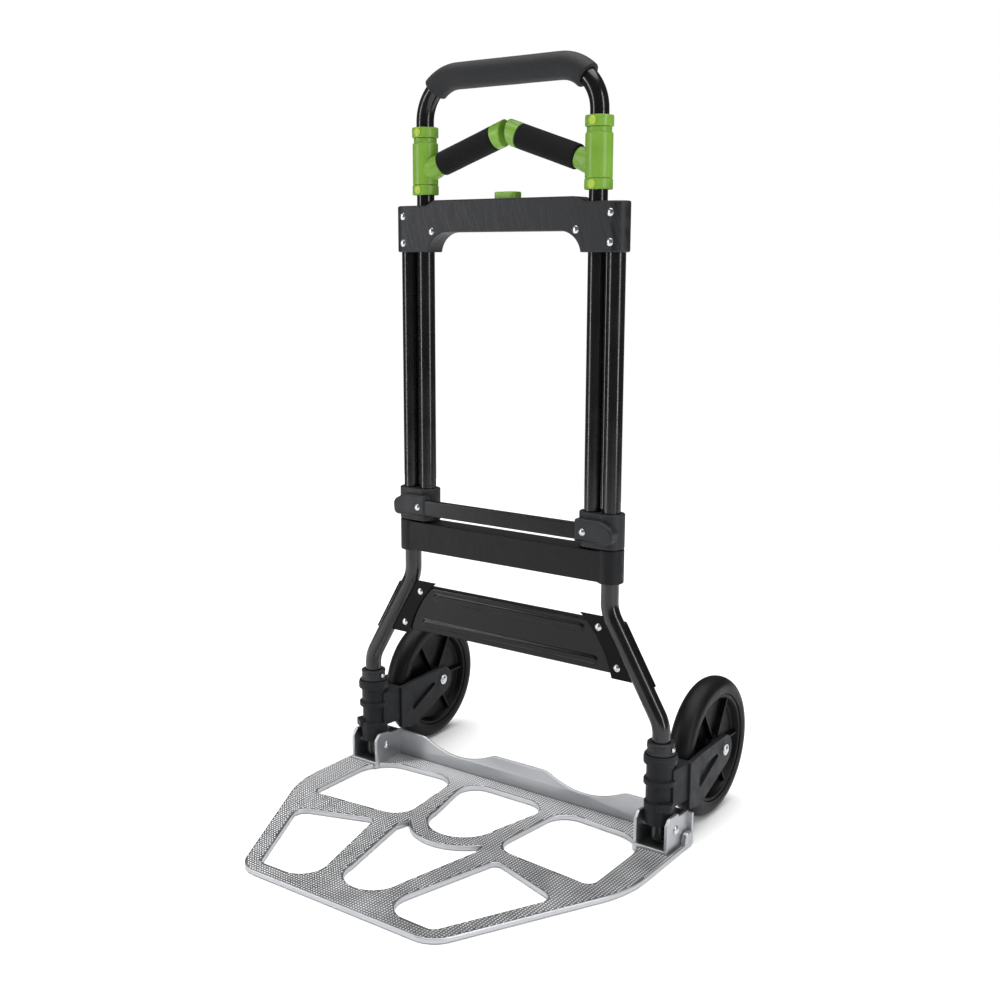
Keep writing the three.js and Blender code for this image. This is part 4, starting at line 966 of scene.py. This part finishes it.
def hub():
    half = [(5.4, 17.8, 0.3), (8.5, 17.8, 0.3), (8.5, 16.6, 0.3), (12.2, 16.6, 0.3), (12.2, 17.6, 0.4),
            (15, 17.6, 0.8), (16.6, 4, 2), (61.5, 4, 3), (64.6, 12.4, 0.8), (65.4, 13.4, 0.6),
            (HUB_R - 0.6, 13.4, 0.6), (HUB_R, 12.4, 0.3)]
    profile = half + [(c[0], -c[1], c[2]) for c in reversed(half)]
    body = turned(rounded(profile), AXLE_PLACE, (1, 0, 0), sides=120, closed=True)
    ribs = []
    for i in range(6):
        turn = Matrix.Translation(AXLE_PLACE) @ Matrix.Rotation(pi / 6 + i * pi / 3, 4, "X")
        rib = slab(box_outline(13.5, 65, -1.4, 1.4), -11, 11, edge=0.5, steps=2)
        across = Matrix(((0, 0, 1, 0), (0, 1, 0, 0), (1, 0, 0, 0), (0, 0, 0, 1)))
        ribs.append(transformed(rib, turn @ across))
    return carved(body, add=ribs)


put_pair("tyre", tyre(), "wheel", "tyre_rubber", RUBBER, smooth=40, weighted=False)
put_pair("wheel_hub", hub(), "wheel", "hub_plastic", HUB)

# ------------------------------------------------------------------ toe plate
PLATE_HALF = 256.5
PLATE_FRONT_Y = -339.0
EDGE = 1.4


def both_sides(half):
    return half + [(-c[0], *c[1:]) for c in reversed(half)]


plate_outline = rounded(both_sides([
    (141.8, PLATE_FRONT_Y, 38), (PLATE_HALF, -123, 150), (PLATE_HALF, WALL_Y1, 5),
]), step=pi / 60)
OPENING_STEP = pi / 30
rear_side = rounded([(84.8, 4.3, 30), (70.5, -126.7, 28), (215.3, -138.4, 12), (215.4, -3.9, 46)],
                    step=OPENING_STEP)
front_side = rounded([(94.5, -153, 9), (50, -317, 30), (128.5, -318.5, 12), (197, -187.5, 14)],
                     step=OPENING_STEP)
ARC_Y, ARC_R = -90.0, 46.0
centre_rear = rounded([(ARC_R, ARC_Y), (68, 7, 27), (-68, 7, 27), (-ARC_R, ARC_Y)], closed=False,
                      step=OPENING_STEP)
centre_rear += arc(0, ARC_Y, ARC_R, pi, 2 * pi, 30)[1:-1]
BAND_R = 70.0
spread = asin(59 / BAND_R) * 0.93
band_arc = arc(0, ARC_Y, BAND_R, -pi / 2 + spread, -pi / 2 - spread, 30)
centre_front = rounded([(36.5, -262), (61, -151, 6), band_arc[0]], closed=False)
centre_front += band_arc[1:] + rounded([band_arc[-1], (-61, -151, 6), (-36.5, -262)], closed=False)[1:]
centre_front += arc(0, -262, 36.5, pi, 2 * pi, 30)[1:-1]
openings = [rear_side, front_side, centre_rear, centre_front]
openings += [[(-x, y) for x, y in hole] for hole in (rear_side, front_side)]
plate = slab(plate_outline, 0, PLATE_T, holes=openings, edge=EDGE, steps=4)


DIP_X = 101.5
BOW, BOW_HALF = 1.6, 62


def wall_top(x):
    """The wall's upper edge: level, with two round dips."""
    half, depth, soft = 58.5, 15.5, 1.2
    r = (half ** 2 + depth ** 2) / (2 * depth)
    u = min(abs(abs(x) - DIP_X), r * 0.9)
    drop = depth - r + sqrt(r * r - u * u)
    return WALL_Z - soft * float(np.logaddexp(0, drop / soft))


def wall_lean(x):
    """How far the wall bows forward at a dip; more would meet the tyres as the plate folds."""
    u = (abs(x) - DIP_X) / BOW_HALF
    return BOW * (0.5 + 0.5 * cos(pi * u)) if abs(u) < 1 else 0.0


def rear_wall():
    xs = list(np.linspace(-PLATE_HALF + 1, PLATE_HALF - 1, 204))
    outline = [(x, 1.0) for x in xs] + [(x, wall_top(x)) for x in reversed(xs)]
    vertices, faces = slab(outline, WALL_Y0, WALL_Y1, edge=1.1, steps=3, axis="y")
    return [(x, y - wall_lean(x), z) for x, y, z in vertices], faces


def ear(x0, x1, notched):
    top = [(13, 43.4, 1), (9, 41.5, 0.8), (5.5, 48.5, 1.5)] if notched else [(11, 43.5, 4), (4, 47, 6)]
    outline = rounded([(-22, 1), (WALL_Y0 + 2, 1), (WALL_Y0 + 2, 43, 1.5), *top, (-15, 49, 7), (-22, 41, 5)])
    return slab(outline, x0, x1, edge=0.9, steps=3, axis="x")


def toe_plate():
    extra = [rear_wall()]
    for s in (-1, 1):
        leg = s * LEG_LOW_X
        for side in (-1, 1):
            near, far = sorted((leg + side * EAR_IN, leg + side * EAR_OUT))
            extra.append(ear(near, far, side == s))
        sill = box_outline(leg - EAR_OUT + 0.5, leg + EAR_OUT - 0.5, -24.2, -19.6, 0.6)
        extra.append(slab(sill, 1, 10, edge=1.1))
        lug = rounded([(10, 1), (31, 1), (31, 20, 6), (16, 20, 6)])
        extra.append(slab(lug, *sorted((s * 249.8, s * 257.2)), edge=2.0, steps=4, axis="x"))
    pin_holes = [turned([(0, -30), (3.9, -30), (3.9, 30), (0, 30)], (s * LEG_LOW_X, 0, PIN_Z), (1, 0, 0))
                 for s in (-1, 1)]
    return carved(plate, add=extra, cut=pin_holes)


put("toe_plate_fine", toe_plate(), "toe_plate", "cast_aluminium", SHADED_PLATE_METAL, ["toe_plate"], smooth=35)

pin_half = [(0, 25.8), (3, 25.6, 1.2), (5.6, 24.2, 1), (5.8, EAR_OUT + 0.1, 0.2), (3.5, EAR_OUT + 0.1)]
pin_profile = pin_half + [(c[0], -c[1], *c[2:]) for c in reversed(pin_half)]
hinge_pin = turned(rounded(pin_profile, closed=False), (LEG_LOW_X, 0, PIN_Z), (1, 0, 0))
put_pair("hinge_pin", hinge_pin, "frame", "zinc", ZINC)

# ------------------------------------------------------------------ raised dots on the plate
DOT_PITCH = 3.9
DOT_FOOT, DOT_TOP, DOT_HEIGHT = 1.0, 0.72, 0.5
DOT_MARGIN = 2.1


def signed_inside(points, outline):
    """For each point, whether it lies in the outline, and its distance from it."""
    a = np.array(outline, dtype=float)
    b = np.roll(a, -1, axis=0)
    inside = np.zeros(len(points), dtype=bool)
    nearest = np.full(len(points), np.inf)
    for (x0, y0), (x1, y1) in zip(a, b):
        crosses = (y0 > points[:, 1]) != (y1 > points[:, 1])
        if y0 != y1:
            at = x0 + (points[:, 1] - y0) * (x1 - x0) / (y1 - y0)
            inside ^= crosses & (points[:, 0] < at)
        side = np.array((x1 - x0, y1 - y0))
        size = max(side @ side, 1e-9)
        t = np.clip(((points - (x0, y0)) @ side) / size, 0, 1)
        nearest = np.minimum(nearest, np.linalg.norm(points - (x0, y0) - t[:, None] * side, axis=1))
    return inside, nearest


def dot_places():
    xs = np.arange(-PLATE_HALF, PLATE_HALF, DOT_PITCH)
    ys = np.arange(PLATE_FRONT_Y, WALL_Y0, DOT_PITCH)
    points = np.stack(np.meshgrid(xs, ys), axis=-1).reshape(-1, 2)
    inside, nearest = signed_inside(points, plate_outline)
    keep = inside & (nearest > DOT_MARGIN)
    for hole in openings:
        inside, nearest = signed_inside(points, hole)
        keep &= ~inside & (nearest > DOT_MARGIN)
    lean = np.array([wall_lean(x) for x in points[:, 0]])
    keep &= points[:, 1] < WALL_Y0 - lean - 1.8
    by_leg = np.abs(np.abs(points[:, 0]) - LEG_LOW_X) < EAR_OUT + 1.5
    keep &= ~(by_leg & (points[:, 1] > -25.5))
    keep &= ~((np.abs(points[:, 0]) > 247.5) & (points[:, 1] > 8))
    return points[keep]


def dots():
    vertices, faces = [], []
    corners = [(-1, -1), (1, -1), (1, 1), (-1, 1)]
    for x, y in dot_places():
        n = len(vertices)
        vertices += [(x + DOT_FOOT * i, y + DOT_FOOT * j, PLATE_T - 0.05) for i, j in corners]
        vertices += [(x + DOT_TOP * i, y + DOT_TOP * j, PLATE_T + DOT_HEIGHT) for i, j in corners]
        faces += [(n + k, n + (k + 1) % 4, n + 4 + (k + 1) % 4, n + 4 + k) for k in range(4)]
        faces += [(n + 3, n + 2, n + 1, n), (n + 4, n + 5, n + 6, n + 7)]
    return vertices, faces


# The dots wear the lighter aluminium, a painted highlight on their tops.
put("toe_plate_dots", dots(), "toe_plate", "cast_aluminium", DOT_METAL_PAINTED_HIGHLIGHT, smooth=20, weighted=False)

# ------------------------------------------------------------------ camera, floor and light
scene = bpy.context.scene
camera = bpy.data.objects.new("camera", bpy.data.cameras.new("camera"))
scene.collection.objects.link(camera)
RIGHT = Vector((0.8075, 0.5899, 0.0)).normalized()
FORWARD = Vector((-0.5798, 0.7935, -0.1850)).normalized()
UP = RIGHT.cross(FORWARD)
turn = Matrix((RIGHT, UP, -FORWARD)).transposed()
camera.matrix_world = Matrix.Translation((0.8879, -1.2144, 0.7117)) @ turn.to_4x4()
camera.data.lens = 45.25
camera.data.sensor_width = 36
camera.data.shift_x = 0.0215
camera.data.shift_y = -0.0118
scene.camera = camera


def flat_material(name, color, roughness):
    look = Look(name, color, roughness)
    look.shade(look.noise(3, 2), 0, 1, 0.995, 1.005)
    return look.material


def floor():
    size = 1.9
    mesh = bpy.data.meshes.new("floor")
    corners = [(-size, -size, 0), (size, -size, 0), (size, size, 0), (-size, size, 0)]
    mesh.from_pydata(corners, [], [(0, 1, 2, 3)])
    obj = bpy.data.objects.new("floor", mesh)
    mesh.materials.append(flat_material("pale_floor", (0.92, 0.92, 0.92), 0.7))
    scene.collection.objects.link(obj)
    obj.location.z = -0.0005


def softbox(name, place, target, width, height, power):
    lamp = bpy.data.lights.new(name, "AREA")
    lamp.shape = "RECTANGLE"
    lamp.size, lamp.size_y = width, height
    lamp.energy = power
    obj = bpy.data.objects.new(name, lamp)
    scene.collection.objects.link(obj)
    obj.location = place
    direction = Vector(target) - Vector(place)
    obj.rotation_euler = direction.to_track_quat("-Z", "Y").to_euler()


def studio_world(seen, light):
    """White where the camera looks past the floor, and dimmer as a light."""
    world = bpy.data.worlds.new("studio")
    world.use_nodes = True
    tree = world.node_tree
    path = tree.nodes.new("ShaderNodeLightPath")
    level = tree.nodes.new("ShaderNodeMapRange")
    level.inputs["To Min"].default_value = light
    level.inputs["To Max"].default_value = seen
    background = tree.nodes["Background"]
    background.inputs["Color"].default_value = (1, 1, 1, 1)
    tree.links.new(path.outputs["Is Camera Ray"], level.inputs["Value"])
    tree.links.new(level.outputs["Result"], background.inputs["Strength"])
    return world


floor()
scene.world = studio_world(seen=1.0, light=0.12)
CENTRE = (0, 0, 0.45)
softbox("left_strip", (-1.5, -1.5, 0.9), CENTRE, 0.3, 1.9, 20)
softbox("right_strip", (2.0, -0.3, 1.0), CENTRE, 0.3, 1.9, 20)
overhead = bpy.data.lights.new("overhead", "SUN")
overhead.energy = 4.2
overhead.angle = radians(70)
scene.collection.objects.link(bpy.data.objects.new("overhead", overhead))
scene.view_settings.view_transform = "Standard"
